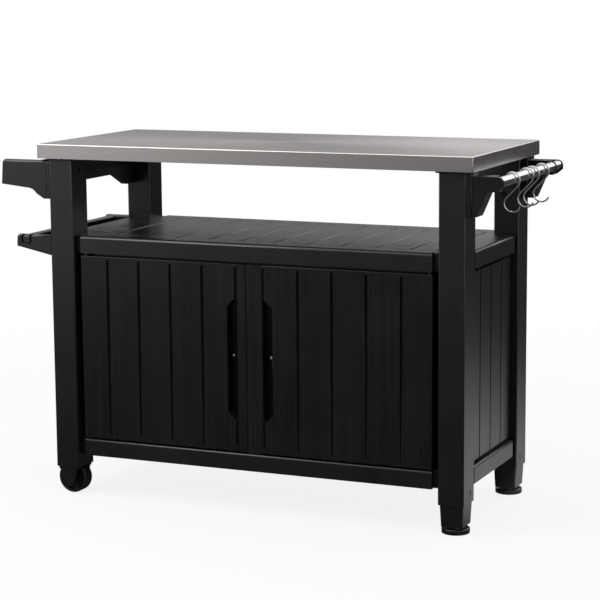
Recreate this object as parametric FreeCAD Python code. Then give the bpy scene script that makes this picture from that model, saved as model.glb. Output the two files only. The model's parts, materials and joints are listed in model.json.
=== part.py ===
import FreeCAD, Part
import math
import os

from FreeCAD import Vector

# Grill cart with storage, in millimetres, +Z up, front facing -Y.
# The pieces are drawn about the middle of the cabinet and moved along X at the end,
# so that the origin is under the middle of the whole object.

# Overall sizes
TOP_LENGTH = 1150.0
TOP_DEPTH = 516.0
TOP_Z = 900.0
SKIRT_HEIGHT = 36.0

# Steel top
SHEET = 1.0
HEM_HEIGHT = 8.0
SHEET_CORNER = 3.0
SHEET_EDGE = 2.0

# Panel and frame under the steel
TOP_PANEL = 4.0
TOP_RAIL_WIDTH = 76.0
TOP_RAIL_WALL = 5.0
END_RAIL_WIDTH = 62.0
TOP_RIB_WIDTH = 14.0
TOP_RIBS = 3

# Legs
OVERHANG_X = 24.0
OVERHANG_Y = 16.0
LEG_WIDTH = 65.0
LEG_DEPTH = 76.0
LEG_WALL = 4.0
LEG_BOTTOM_Z = 72.0
LEG_EDGE = 3.0
HEAD_LEDGE = 9.0
HEAD_THICKNESS = 5.0
HEAD_SCREW_OFFSET = 15.2
SLOT_WIDTH = 4.0
SLOT_HEIGHT = 14.0
SLOT_RISE = 25.0
SLOT_OFFSET = 9.5
NUB_INSET = 1.0
ACCESS_HOLE_RADIUS = 5.0

# Foot caps and levelling feet of the right legs
CAP_BOTTOM_Z = 19.0
CAP_TOP_INSET = 3.0
CAP_BOTTOM_INSET = 5.5
CAP_CORNER = 5.0
CAP_PLUG = 40.0
PLUG_CLEARANCE = 0.2
PAD_RADIUS = 34.0
PAD_HEIGHT = 13.0
PAD_EDGE = 3.0
PAD_BEVEL = 1.0
STEM_RADIUS = 5.0
STEM_FLANGE_RADIUS = 11.0
STEM_FLANGE = 2.5
STEM_LENGTH = 48.0
STEM_CLEARANCE = 1.0
RUNNING_CLEARANCE = 0.08
NUT_RADIUS = 9.0
NUT_HEIGHT = 14.0
NUT_COVER = 4.0

# Wheels of the left legs
WHEEL_RADIUS = 40.0
WHEEL_WIDTH = 32.0
RIM_THICKNESS = 7.0
WEB_THICKNESS = 8.0
HUB_RADIUS = 12.0
HUB_SIDE_GAP = 0.8
AXLE_RADIUS = 4.0
AXLE_SEAT = 4.5
WHEEL_CLEARANCE = 4.0
WHEEL_SPOKES = 6
SPOKE_THICKNESS = 4.0
SPOKE_OVERLAP = 1.0
TREAD_EDGE = 3.0
FORK_PLATE = 7.0
FORK_SETBACK = 1.5
FORK_INSET = 7.0
FORK_TIP_HALF = 15.0
FORK_TIP_Z = 20.0
FORK_TIP_RISE = 8.0
FORK_PLUG = 34.0

# Aprons between the leg tops
SETBACK = 5.0
APRON_DROP = 67.0
APRON_PLATE = 6.0
APRON_LIP = 18.0
APRON_LIP_HEIGHT = 22.0
GUSSET_DROP = 32.5
GUSSET_FLAT = 44.0
GUSSET_RUN = 68.0
FRONT_GUSSET_FLAT = 20.0
FRONT_GUSSET_RUN = 45.0

# Shelf deck and the rails under the cabinet
SHELF_OPENING = 193.0
DECK_HEIGHT = 44.0
DECK_PLATE = 5.0
DECK_RADIUS = 8.0
END_RECESS_LENGTH = 17.0
END_RECESS_DEPTH = 16.0
TONGUE_DROP = 1.0
WALL_WIDTH = 32.0
RAIL_TOP_Z = 150.0
RAIL_HEIGHT = 43.0
RAIL_RADIUS = 5.0
RAIL_WALL = 5.0
FLOOR_THICKNESS = 6.0
FLOOR_DROP = 8.0
LEDGE_WIDTH = 10.0
LEDGE_HEIGHT = 8.0
STOP_LIP_HEIGHT = 14.0
STOP_LIP_THICKNESS = 5.0
STOP_LIP_GAP = 1.0

# Grooves that divide doors, panels and deck into planks
PLANK_PITCH = 88.5
LEFT_DOOR_PLANK_PITCH = 87.6
SIDE_PLANK_PITCH = 80.0
GROOVE_WIDTH = 6.0
GROOVE_FLOOR = 3.0
GROOVE_DEPTH = 4.0
GROOVE_END = 8.0
DOOR_GROOVE_WIDTH = 7.5
DOOR_GROOVE_FLOOR = 4.5
DOOR_GROOVE_DEPTH = 6.5
DECK_GROOVE_DEPTH = 3.0
DECK_BORDER = 52.0
BORDER_GROOVE_DEPTH = 2.5

# Cabinet panels
PANEL_THICKNESS = 8.0
PANEL_SETBACK = 11.0
PANEL_STEP = 6.0
PANEL_TOP_STRIP = 8.0
PANEL_BOTTOM_STRIP = 7.0
PLANK_CHAMFER = 2.8

# Doors
DOOR_SETBACK = 6.0
DOOR_THICKNESS = 24.0
DOOR_LINER = 3.0
DOOR_TOP_GAP = 7.0
DOOR_BOTTOM_GAP = 4.0
DOOR_EDGE = 1.2
DOOR_WALL = 6.0
DOOR_GROOVE_FOOT = 12.0
LINER_RIM = 30.0
LINER_RECESS = 1.0
SEAM_X = -12.0
SEAM_GAP = 2.4
LEFT_FIELD_X = 43.0
RIGHT_FIELD_X = 37.5
STEP_GROOVE_WIDTH = 7.0
STRIP_SETBACK = 1.6
RIGHT_LIP_WIDTH = 23.0
RIGHT_LIP_SETBACK = 0.8
RIGHT_LIP_ROOT = 1.0
HINGE_INSET = 10.0
PIN_RADIUS = 5.0
PIN_IN_DOOR = 20.0
PIN_IN_SOCKET = 10.0
PIN_END_GAP = 2.0
SOCKET_BOSS = 13.0
POCKET_WIDTH = 21.0
POCKET_DEPTH = 17.0
POCKET_TOP_MARGIN = 87.0
POCKET_BOTTOM_MARGIN = 79.0
POCKET_CHAMFER = 18.0
CATCH_WIDTH = 30.0
CATCH_DEPTH = 12.0
CATCH_HEIGHT = 2.6
CATCH_EDGE = 1.8
CATCH_X = 4.0

# Bottle tray on the left
TRAY_REACH = 139.0
TRAY_TOP_DROP = 6.0
TRAY_OUTER_HEIGHT = 63.0
TRAY_INNER_HEIGHT = 71.0
TRAY_FLAT_X = 60.0
TRAY_FOOT_HEIGHT = 97.0
TRAY_FOOT_X = 17.0
TRAY_WALL = 7.0
TRAY_BASE = 6.0
TRAY_FLOOR = 4.0
TRAY_LEAN = 4.0
TRAY_DIP = 18.0
TRAY_DIP_START = 14.0
TRAY_DIP_RUN = 90.0
TRAY_END_WALL = 10.0
TRAY_BEVEL = 6.0
TRAY_FLANGE = 8.0
TRAY_FOOT_WIDTH = 60.0
TRAY_SWEEP = 2.9
TRAY_RIM = 6.0
TRAY_CORNER = 3.0
JOINT_LINE_WIDTH = 1.6
JOINT_LINE_DEPTH = 1.0

# Bag holder on the left
HOLDER_REACH = 99.0
HOLDER_DROP = 8.0
HOLDER_TIP_HEIGHT = 25.0
HOLDER_ROOT_HEIGHT = 45.0
HOLDER_WIDTH = 30.0
HOLDER_CROWN = 4.5
HOLDER_BAR = 28.0
HOLDER_INNER_BAR = 12.0
HOLDER_BAR_RISE = 2.0
HOLDER_INNER_DROP = 1.0
CLIP_X = 71.5
CLIP_WIDTH = 19.0
CLIP_GAP = 5.0
CLIP_LEAF = 4.7
CLIP_REACH = 16.0
CLIP_ROOT_GAP = 0.3
CLIP_LEAF_DROP = 16.5
CLIP_CORE_DROP = 7.0
CLIP_CLEARANCE = 0.8

# Towel bar, its arms and its hooks on the right
BAR_REACH = 77.0
BAR_DROP = 24.0
BAR_RADIUS = 12.5
BAR_WALL = 1.5
ARM_PLATE = 15.0
ARM_PLATE_WIDTH = 54.0
ARM_PLATE_GAP = 3.0
ARM_PLATE_HEIGHT = 101.0
ARM_FOOT_WIDTH = 12.0
ARM_GUSSET_RUN = 26.0
ARM_UNDER_BAR = 21.0
ARM_RIM = 1.2
ARM_CHIN_RISE = 12.0
ARM_CHIN_RUN = 14.0
ARM_SETBACK = 3.0
ARM_THICKNESS = 44.0
ARM_END_PLATE = 8.0
ARM_EDGE = 2.0
SADDLE_CLEARANCE = 0.1
SADDLE_LIP = 10.0
RING_THICKNESS = 1.5
RING_WIDTH = 3.5
RING_Y = 183.0
HOOK_YS = (-131.0, -25.0, 22.0, 101.0)
HOOK_WIRE = 2.0
HOOK_LOOP = 18.0
HOOK_BEND = 20.0
HOOK_DROP = 54.5
HOOK_REST_GAP = 0.35
HOOK_FREE_ANGLE = 140.0
HOOK_TIP_ANGLE = -25.0

# Screws
SCREW_RADIUS = 2.5
SCREW_HEAD_RADIUS = 5.0
SCREW_HEAD = 3.0
SCREW_LENGTH = 22.0
SCREW_CLEARANCE = 0.2
SCREW_END_GAP = 2.0
BRACKET_SCREW_DROP = 32.0
HOLDER_SCREW_DROP = 22.0
BAR_SCREW_OFFSET = 4.0
BAR_SCREW_BOSS = 7.0
BRACKET_SCREW_LENGTH = 11.0
HANDLE_SCREW_DROP = 142.0
HANDLE_SCREW_RADIUS = 3.5
HANDLE_SCREW_SHANK = 1.8
HANDLE_SCREW_HEAD = 2.0
HANDLE_SCREW_LENGTH = 6.0
APRON_SCREW_Y = 90.0

# Places worked out from the sizes above
SKIRT_Z = TOP_Z - SKIRT_HEIGHT
APRON_BOTTOM_Z = SKIRT_Z - APRON_DROP
DECK_Z = SKIRT_Z - SHELF_OPENING
LEG_OUT_X = TOP_LENGTH / 2 - OVERHANG_X
LEG_IN_X = LEG_OUT_X - LEG_WIDTH
LEG_OUT_Y = TOP_DEPTH / 2 - OVERHANG_Y
LEG_IN_Y = LEG_OUT_Y - LEG_DEPTH
LEG_MID_X = (LEG_OUT_X + LEG_IN_X) / 2
LEG_MID_Y = (LEG_OUT_Y + LEG_IN_Y) / 2
FACE_X = LEG_OUT_X - SETBACK
FACE_Y = LEG_OUT_Y - SETBACK
MAIN_X = LEG_IN_X - END_RECESS_LENGTH
MAIN_Y = LEG_IN_Y - END_RECESS_LENGTH
WALL_IN_X = FACE_X - WALL_WIDTH
WALL_IN_Y = FACE_Y - WALL_WIDTH
DECK_BOTTOM_Z = DECK_Z - DECK_HEIGHT
RAIL_BOTTOM_Z = RAIL_TOP_Z - RAIL_HEIGHT
FLOOR_TOP_Z = RAIL_TOP_Z - FLOOR_DROP
FLOOR_BOTTOM_Z = FLOOR_TOP_Z - FLOOR_THICKNESS
DOOR_Y = -(LEG_OUT_Y - DOOR_SETBACK)
DOOR_BACK_Y = DOOR_Y + DOOR_THICKNESS
DOOR_TOP_Z = DECK_BOTTOM_Z - DOOR_TOP_GAP
DOOR_BOTTOM_Z = RAIL_TOP_Z + DOOR_BOTTOM_GAP
POCKET_TOP_Z = DOOR_TOP_Z - POCKET_TOP_MARGIN
POCKET_BOTTOM_Z = DOOR_BOTTOM_Z + POCKET_BOTTOM_MARGIN
HANDLE_SCREW_Z = POCKET_TOP_Z - HANDLE_SCREW_DROP
HINGE_X = MAIN_X - HINGE_INSET
HINGE_Y = DOOR_Y + HINGE_INSET
BAR_X = LEG_OUT_X + BAR_REACH
BAR_Z = SKIRT_Z - BAR_DROP
ARM_BOTTOM_Z = BAR_Z - ARM_UNDER_BAR
ARM_PLATE_TOP_Z = SKIRT_Z - ARM_PLATE_GAP
ARM_FOOT_Z = ARM_PLATE_TOP_Z - ARM_PLATE_HEIGHT
BRACKET_SCREW_Z = SKIRT_Z - BRACKET_SCREW_DROP
ARM_OUT_Y = LEG_OUT_Y - ARM_SETBACK
ARM_IN_Y = ARM_OUT_Y - ARM_THICKNESS
TRAY_OUT_X = LEG_OUT_X + TRAY_REACH
TRAY_TOP_Z = SKIRT_Z - TRAY_TOP_DROP
TRAY_OUTER_BOTTOM_Z = TRAY_TOP_Z - TRAY_OUTER_HEIGHT
TRAY_INNER_BOTTOM_Z = TRAY_TOP_Z - TRAY_INNER_HEIGHT
TRAY_FOOT_Z = TRAY_TOP_Z - TRAY_FOOT_HEIGHT
TRAY_ROOM_Z = TRAY_OUTER_BOTTOM_Z + TRAY_BASE
HOLDER_TOP_Z = DECK_Z - HOLDER_DROP
HOLDER_SCREW_Z = HOLDER_TOP_Z - HOLDER_SCREW_DROP
CLIP_CORE_Z = HOLDER_TOP_Z - CLIP_CORE_DROP
CLIP_LEAF_BOTTOM_Z = HOLDER_TOP_Z - CLIP_LEAF_DROP
HOOK_OUT_X = BAR_X + HOOK_LOOP + HOOK_WIRE
SHIFT_X = (TRAY_OUT_X - HOOK_OUT_X) / 2
FORK_ROOM = LEG_DEPTH - 2 * (FORK_PLATE + FORK_SETBACK)
PANEL_GROOVE = (GROOVE_WIDTH, GROOVE_FLOOR, GROOVE_DEPTH)
DOOR_GROOVE = (DOOR_GROOVE_WIDTH, DOOR_GROOVE_FLOOR, DOOR_GROOVE_DEPTH)

X_AXIS = Vector(1, 0, 0)
Y_AXIS = Vector(0, 1, 0)
Z_AXIS = Vector(0, 0, 1)
ORIGIN = Vector(0, 0, 0)
PAST = 5.0
TINY = 0.01


def block(x0, x1, y0, y1, z0, z1):
    return Part.makeBox(x1 - x0, y1 - y0, z1 - z0, Vector(x0, y0, z0))


def both_x(half, y0, y1, z0, z1):
    return block(-half, half, y0, y1, z0, z1)


def fuse(shapes):
    return shapes[0].fuse(shapes[1:]).removeSplitter()


def mirror_x(shape):
    return shape.mirror(ORIGIN, X_AXIS)


def mirror_y(shape):
    return shape.mirror(ORIGIN, Y_AXIS)


def rod(radius, start, axis, length):
    return Part.makeCylinder(radius, length, start, axis)


def prism_xz(points, y0, y1):
    wire = Part.makePolygon([Vector(x, y0, z) for x, z in points + points[:1]])
    return Part.Face(wire).extrude(Vector(0, y1 - y0, 0))


def prism_yz(points, x0, x1):
    wire = Part.makePolygon([Vector(x0, y, z) for y, z in points + points[:1]])
    return Part.Face(wire).extrude(Vector(x1 - x0, 0, 0))


def prism_xy(points, z0, z1):
    wire = Part.makePolygon([Vector(x, y, z0) for x, y in points + points[:1]])
    return Part.Face(wire).extrude(Vector(0, 0, z1 - z0))


def edge_direction(edge):
    start = edge.Vertexes[0].Point
    end = edge.Vertexes[-1].Point
    return (end - start).normalize()


def straight_edges(shape, axis):
    lines = [e for e in shape.Edges if isinstance(e.Curve, Part.Line) and e.Length > TINY]
    return [e for e in lines if abs(edge_direction(e).dot(axis)) > 1 - TINY]


def rounded_upright(shape, radius):
    return shape.makeFillet(radius, straight_edges(shape, Z_AXIS))


def edges_on(shape, axis, value):
    found = []
    for edge in shape.Edges:
        spots = [v.Point.dot(axis) for v in edge.Vertexes]
        if all(abs(s - value) < TINY for s in spots):
            found.append(edge)
    return found


def rounded_rectangle(half_x, half_y, radius, z, middle):
    outline = block(
        middle.x - half_x, middle.x + half_x, middle.y - half_y, middle.y + half_y, z, z + 1
    )
    outline = rounded_upright(outline, radius)
    bottom = [f for f in outline.Faces if abs(f.CenterOfMass.z - z) < TINY]
    return bottom[0].OuterWire


def groove_z(x, face_y, z0, z1, section, toward):
    """Upright groove in a face square to Y, narrower at its floor."""
    width, floor, depth = section
    out = face_y - toward * TINY
    inner = face_y + toward * depth
    outline = [
        (x - width / 2, out),
        (x + width / 2, out),
        (x + floor / 2, inner),
        (x - floor / 2, inner),
    ]
    return prism_xy(outline, z0, z1)


def groove_z_side(y, face_x, z0, z1, section):
    """Upright groove in the right panel's outer face."""
    width, floor, depth = section
    outline = [
        (face_x + TINY, y - width / 2),
        (face_x + TINY, y + width / 2),
        (face_x - depth, y + floor / 2),
        (face_x - depth, y - floor / 2),
    ]
    return prism_xy(outline, z0, z1)


def screw(start, axis, length):
    """Pan-head screw: its head lies behind start and its shank runs along the axis."""
    head = rod(SCREW_HEAD_RADIUS, start - axis * SCREW_HEAD, axis, SCREW_HEAD)
    shank = rod(SCREW_RADIUS, start, axis, length)
    return head.fuse(shank).removeSplitter()


def screws(starts, length):
    return Part.Compound([screw(start, axis, length) for start, axis in starts])


def leg_mid(side_x, side_y):
    return Vector(side_x * LEG_MID_X, side_y * LEG_MID_Y, 0)


def bracket_screw_starts():
    """Where the screws of the tray and towel arms sit, inside each leg's outer wall."""
    starts = []
    for side_x in (-1, 1):
        for side_y in (-1, 1):
            start = Vector(side_x * (LEG_OUT_X - LEG_WALL), side_y * LEG_MID_Y, BRACKET_SCREW_Z)
            starts.append((start, Vector(side_x, 0, 0)))
    return starts


def holder_screw_starts():
    starts = []
    for side_y in (-1, 1):
        y = side_y * (LEG_OUT_Y - HOLDER_WIDTH / 2)
        start = Vector(-(LEG_OUT_X - LEG_WALL), y, HOLDER_SCREW_Z)
        starts.append((start, Vector(-1, 0, 0)))
    return starts


def head_screw_starts():
    starts = []
    for side_x in (-1, 1):
        for side_y in (-1, 1):
            for step in (-1, 1):
                x = side_x * LEG_MID_X
                y = side_y * (LEG_MID_Y + step * HEAD_SCREW_OFFSET)
                starts.append((Vector(x, y, SKIRT_Z - HEAD_THICKNESS - LEG_WALL), Z_AXIS))
    return starts


def apron_screw_starts():
    starts = []
    for side_x in (-1, 1):
        for side_y in (-1, 1):
            x = side_x * (FACE_X - APRON_PLATE - APRON_LIP / 2)
            z = SKIRT_Z - APRON_PLATE
            starts.append((Vector(x, side_y * APRON_SCREW_Y, z), Z_AXIS))
    return starts


def screw_holes(starts, radius, length):
    return [rod(radius, p - a * PAST, a, length + PAST) for p, a in starts]


def steel_top():
    half_x = TOP_LENGTH / 2
    half_y = TOP_DEPTH / 2
    outer = block(-half_x, half_x, -half_y, half_y, SKIRT_Z, TOP_Z)
    outer = rounded_upright(outer, SHEET_CORNER)
    outer = outer.makeFillet(SHEET_EDGE, edges_on(outer, Z_AXIS, TOP_Z))
    in_x = half_x - SHEET
    in_y = half_y - SHEET
    hollow = block(-in_x, in_x, -in_y, in_y, SKIRT_Z + HEM_HEIGHT, TOP_Z - SHEET)
    hollow = rounded_upright(hollow, SHEET_CORNER - SHEET)
    hem_x = in_x - SHEET
    hem_y = in_y - SHEET
    mouth = block(-hem_x, hem_x, -hem_y, hem_y, SKIRT_Z - PAST, SKIRT_Z + HEM_HEIGHT + TINY)
    return outer.cut([hollow, mouth]).removeSplitter()


def top_panel():
    half_x = TOP_LENGTH / 2 - 2 * SHEET
    half_y = TOP_DEPTH / 2 - 2 * SHEET
    panel = both_x(half_x, -half_y, half_y, TOP_Z - SHEET - TOP_PANEL, TOP_Z - SHEET)
    return rounded_upright(panel, SHEET_CORNER)


def open_channel(x0, x1, y0, y1):
    """Frame rail with a solid bottom, closed above by the panel."""
    top = TOP_Z - SHEET - TOP_PANEL
    wall = TOP_RAIL_WALL
    hollow = block(x0 + wall, x1 - wall, y0 + wall, y1 - wall, SKIRT_Z + wall, top + PAST)
    return block(x0, x1, y0, y1, SKIRT_Z, top).cut(hollow)


def top_screw_starts():
    return head_screw_starts() + apron_screw_starts()


def top_rail(side):
    half_x = TOP_LENGTH / 2 - 2 * SHEET - SHEET_CORNER
    outer = TOP_DEPTH / 2 - 2 * SHEET
    rail = open_channel(-half_x, half_x, outer - TOP_RAIL_WIDTH, outer)
    if side < 0:
        rail = mirror_y(rail)
    return rail.cut(screw_holes(top_screw_starts(), SCREW_RADIUS, SCREW_LENGTH))


def top_end_rail(side):
    outer = TOP_LENGTH / 2 - 2 * SHEET - SHEET_CORNER
    half_y = TOP_DEPTH / 2 - 2 * SHEET - TOP_RAIL_WIDTH
    rail = open_channel(outer - END_RAIL_WIDTH, outer, -half_y, half_y)
    if side < 0:
        rail = mirror_x(rail)
    return rail.cut(screw_holes(top_screw_starts(), SCREW_RADIUS, SCREW_LENGTH))


def top_ribs():
    half_y = TOP_DEPTH / 2 - 2 * SHEET - TOP_RAIL_WIDTH
    step = TOP_LENGTH / (TOP_RIBS + 1)
    half = TOP_RIB_WIDTH / 2
    ribs = []
    for k in range(TOP_RIBS):
        x = (k + 1) * step - TOP_LENGTH / 2
        ribs.append(block(x - half, x + half, -half_y, half_y, SKIRT_Z, TOP_Z - SHEET - TOP_PANEL))
    return Part.Compound(ribs)


def leg(side_x, side_y):
    head_z = SKIRT_Z - HEAD_THICKNESS
    post = block(LEG_IN_X, LEG_OUT_X, LEG_IN_Y, LEG_OUT_Y, LEG_BOTTOM_Z, head_z)
    post = rounded_upright(post, LEG_EDGE)
    hollow = block(
        LEG_IN_X + LEG_WALL,
        LEG_OUT_X - LEG_WALL,
        LEG_IN_Y + LEG_WALL,
        LEG_OUT_Y - LEG_WALL,
        LEG_BOTTOM_Z - PAST,
        head_z - LEG_WALL,
    )
    body = post.cut([hollow, leg_slot()])
    if side_x < 0:
        body = mirror_x(body)
    if side_y < 0:
        body = mirror_y(body)
    middle = leg_mid(side_x, side_y)
    access_start = Vector(side_x * (LEG_IN_X - PAST), middle.y, BRACKET_SCREW_Z)
    access = rod(ACCESS_HOLE_RADIUS, access_start, Vector(side_x, 0, 0), LEG_WALL + 2 * PAST)
    hole_radius = SCREW_RADIUS + SCREW_CLEARANCE
    starts = bracket_screw_starts() + holder_screw_starts() + head_screw_starts()
    return body.cut([access] + screw_holes(starts, hole_radius, LEG_WALL + HEAD_THICKNESS + PAST))


def leg_heads():
    """Plates between the legs and the top's frame, standing in under the top."""
    plate = block(
        LEG_IN_X - HEAD_LEDGE, LEG_OUT_X, LEG_IN_Y, LEG_OUT_Y, SKIRT_Z - HEAD_THICKNESS, SKIRT_Z
    )
    plate = rounded_upright(plate, LEG_EDGE)
    pair = [plate, mirror_x(plate)]
    plates = pair + [mirror_y(p) for p in pair]
    holes = screw_holes(head_screw_starts(), SCREW_RADIUS + SCREW_CLEARANCE, SCREW_LENGTH)
    return Part.Compound([p.cut(holes) for p in plates])


def leg_slot():
    """Snap window low on the outer side face."""
    z0 = LEG_BOTTOM_Z + SLOT_RISE - SLOT_HEIGHT / 2
    z1 = z0 + SLOT_HEIGHT
    y0 = LEG_MID_Y - SLOT_OFFSET - SLOT_WIDTH / 2
    return block(LEG_OUT_X - LEG_WALL - PAST, LEG_OUT_X + PAST, y0, y0 + SLOT_WIDTH, z0, z1)


def leg_plug(height):
    """Block that fits the bottom of the right rear leg's hollow, to be mirrored for the others."""
    inset = LEG_WALL + PLUG_CLEARANCE
    plug = block(
        LEG_IN_X + inset,
        LEG_OUT_X - inset,
        LEG_IN_Y + inset,
        LEG_OUT_Y - inset,
        LEG_BOTTOM_Z - TINY,
        LEG_BOTTOM_Z + height,
    )
    return plug


def snap_nub():
    """Tongue that clicks into the leg's window."""
    window = leg_slot().BoundBox
    return block(
        LEG_OUT_X - LEG_WALL - PAST,
        LEG_OUT_X - NUB_INSET,
        window.YMin + PLUG_CLEARANCE,
        window.YMax - PLUG_CLEARANCE,
        window.ZMin + PLUG_CLEARANCE,
        window.ZMax - PLUG_CLEARANCE,
    )


def foot_cap(side_y):
    middle = leg_mid(1, 1)
    upper = rounded_rectangle(
        LEG_WIDTH / 2 - CAP_TOP_INSET, LEG_DEPTH / 2 - CAP_TOP_INSET, CAP_CORNER, LEG_BOTTOM_Z, middle
    )
    lower = rounded_rectangle(
        LEG_WIDTH / 2 - CAP_BOTTOM_INSET,
        LEG_DEPTH / 2 - CAP_BOTTOM_INSET,
        CAP_CORNER,
        CAP_BOTTOM_Z,
        middle,
    )
    taper = Part.makeLoft([lower, upper], True, True)
    cap = fuse([taper, leg_plug(CAP_PLUG), snap_nub()])
    base = Vector(middle.x, middle.y, CAP_BOTTOM_Z)
    bore = rod(STEM_RADIUS + STEM_CLEARANCE, base - Z_AXIS * PAST, Z_AXIS, STEM_LENGTH + PAST)
    nut_room = rod(NUT_RADIUS, base + Z_AXIS * NUT_COVER, Z_AXIS, NUT_HEIGHT)
    cap = cap.cut([bore, nut_room])
    return cap if side_y > 0 else mirror_y(cap)


def foot_nuts():
    nuts = []
    for side_y in (-1, 1):
        base = leg_mid(1, side_y) + Z_AXIS * (CAP_BOTTOM_Z + NUT_COVER)
        nut = rod(NUT_RADIUS, base, Z_AXIS, NUT_HEIGHT)
        bore = rod(STEM_RADIUS + RUNNING_CLEARANCE, base - Z_AXIS * PAST, Z_AXIS, NUT_HEIGHT + 2 * PAST)
        nuts.append(nut.cut(bore))
    return Part.Compound(nuts)


def foot_pad(side_y):
    pad = rod(PAD_RADIUS, leg_mid(1, side_y), Z_AXIS, PAD_HEIGHT)
    pad = pad.makeFillet(PAD_EDGE, edges_on(pad, Z_AXIS, PAD_HEIGHT))
    return pad.makeChamfer(PAD_BEVEL, edges_on(pad, Z_AXIS, 0))


def foot_stem(side_y):
    base = leg_mid(1, side_y) + Z_AXIS * PAD_HEIGHT
    flange = rod(STEM_FLANGE_RADIUS, base, Z_AXIS, STEM_FLANGE)
    shank = rod(STEM_RADIUS, base, Z_AXIS, STEM_LENGTH)
    return fuse([flange, shank])


def fork_shield(y0, y1):
    """Cheek below a leg, narrowing to a rounded tip."""
    half = LEG_WIDTH / 2 - FORK_INSET
    tip = FORK_TIP_HALF
    low = FORK_TIP_Z + FORK_TIP_RISE
    top_left = Vector(LEG_MID_X - half, y0, LEG_BOTTOM_Z)
    top_right = Vector(LEG_MID_X + half, y0, LEG_BOTTOM_Z)
    right = Vector(LEG_MID_X + tip, y0, low)
    left = Vector(LEG_MID_X - tip, y0, low)
    bottom = Vector(LEG_MID_X, y0, FORK_TIP_Z)
    edges = [
        Part.LineSegment(top_left, top_right).toShape(),
        Part.LineSegment(top_right, right).toShape(),
        Part.Arc(right, bottom, left).toShape(),
        Part.LineSegment(left, top_left).toShape(),
    ]
    return Part.Face(Part.Wire(edges)).extrude(Vector(0, y1 - y0, 0))


def wheel_fork(side_y):
    inner = LEG_IN_Y + FORK_SETBACK + FORK_PLATE
    front = fork_shield(inner + FORK_ROOM, inner + FORK_ROOM + FORK_PLATE)
    rear = fork_shield(inner - FORK_PLATE, inner)
    plug = leg_plug(FORK_PLUG)
    shoulder = block(
        LEG_IN_X + LEG_WALL + PLUG_CLEARANCE,
        LEG_OUT_X - LEG_WALL - PLUG_CLEARANCE,
        LEG_IN_Y + LEG_WALL + PLUG_CLEARANCE,
        LEG_OUT_Y - LEG_WALL - PLUG_CLEARANCE,
        LEG_BOTTOM_Z - FORK_PLATE,
        LEG_BOTTOM_Z,
    )
    axle_line = Vector(LEG_MID_X, inner, WHEEL_RADIUS)
    well = rod(WHEEL_RADIUS + WHEEL_CLEARANCE, axle_line, Y_AXIS, FORK_ROOM)
    body = fuse([plug, shoulder]).cut(well)
    body = fuse([body, front, rear, snap_nub()])
    seat_start = axle_line - Y_AXIS * AXLE_SEAT
    seat = rod(AXLE_RADIUS, seat_start, Y_AXIS, FORK_ROOM + 2 * AXLE_SEAT)
    fork = mirror_x(body.cut(seat))
    return fork if side_y > 0 else mirror_y(fork)


def wheel_axles():
    axles = []
    for side_y in (-1, 1):
        length = FORK_ROOM + 2 * AXLE_SEAT
        start = Vector(-LEG_MID_X, side_y * LEG_MID_Y - length / 2, WHEEL_RADIUS)
        axles.append(rod(AXLE_RADIUS, start, Y_AXIS, length))
    return Part.Compound(axles)


def wheel(side_y):
    middle = Vector(-LEG_MID_X, side_y * LEG_MID_Y, WHEEL_RADIUS)
    start = middle - Y_AXIS * (WHEEL_WIDTH / 2)
    tread = rod(WHEEL_RADIUS, start, Y_AXIS, WHEEL_WIDTH)
    tread = tread.makeFillet(TREAD_EDGE, [e for e in tread.Edges if isinstance(e.Curve, Part.Circle)])
    inside = WHEEL_RADIUS - RIM_THICKNESS
    dish = (WHEEL_WIDTH - WEB_THICKNESS) / 2
    near = rod(inside, start - Y_AXIS * TINY, Y_AXIS, dish)
    far = rod(inside, middle + Y_AXIS * (WEB_THICKNESS / 2), Y_AXIS, dish + TINY)
    body = tread.cut([near, far])
    hub_length = FORK_ROOM - 2 * HUB_SIDE_GAP
    hub = rod(HUB_RADIUS, middle - Y_AXIS * (hub_length / 2), Y_AXIS, hub_length)
    spokes = []
    for k in range(WHEEL_SPOKES):
        reach = (HUB_RADIUS + inside) / 2
        half = (inside - HUB_RADIUS) / 2 + SPOKE_OVERLAP
        width = WHEEL_WIDTH / 2 - TREAD_EDGE
        thick = SPOKE_THICKNESS / 2
        spoke = block(reach - half, reach + half, -width, width, -thick, thick)
        spoke.rotate(ORIGIN, Y_AXIS, 360.0 * k / WHEEL_SPOKES)
        spoke.translate(middle)
        spokes.append(spoke)
    body = fuse([body, hub] + spokes)
    bore = rod(AXLE_RADIUS + RUNNING_CLEARANCE, middle - Y_AXIS * hub_length, Y_AXIS, 2 * hub_length)
    return body.cut(bore)


def apron_outline(top_z):
    """Side view: straight bottom with a short gusset at the front leg and a long one at the rear."""
    low = APRON_BOTTOM_Z - GUSSET_DROP
    front_flat = FRONT_GUSSET_FLAT - LEG_IN_Y
    flat = LEG_IN_Y - GUSSET_FLAT
    slope = flat - GUSSET_RUN
    return [
        (-LEG_IN_Y, top_z),
        (-LEG_IN_Y, low),
        (front_flat, low),
        (front_flat + FRONT_GUSSET_RUN, APRON_BOTTOM_Z),
        (slope, APRON_BOTTOM_Z),
        (flat, low),
        (LEG_IN_Y, low),
        (LEG_IN_Y, top_z),
    ]


def apron(side_x):
    plate = prism_yz(apron_outline(SKIRT_Z), FACE_X - APRON_PLATE, FACE_X)
    lip_top = APRON_BOTTOM_Z + APRON_LIP_HEIGHT
    lip = prism_yz(apron_outline(lip_top), FACE_X - APRON_LIP, FACE_X)
    inner = FACE_X - APRON_PLATE
    top_flange = block(inner - APRON_LIP, inner, -LEG_IN_Y, LEG_IN_Y, SKIRT_Z - APRON_PLATE, SKIRT_Z)
    body = fuse([plate, lip, top_flange])
    if side_x < 0:
        body = mirror_x(body)
    hole_radius = SCREW_RADIUS + SCREW_CLEARANCE
    return body.cut(screw_holes(apron_screw_starts(), hole_radius, APRON_PLATE + PAST))


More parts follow.
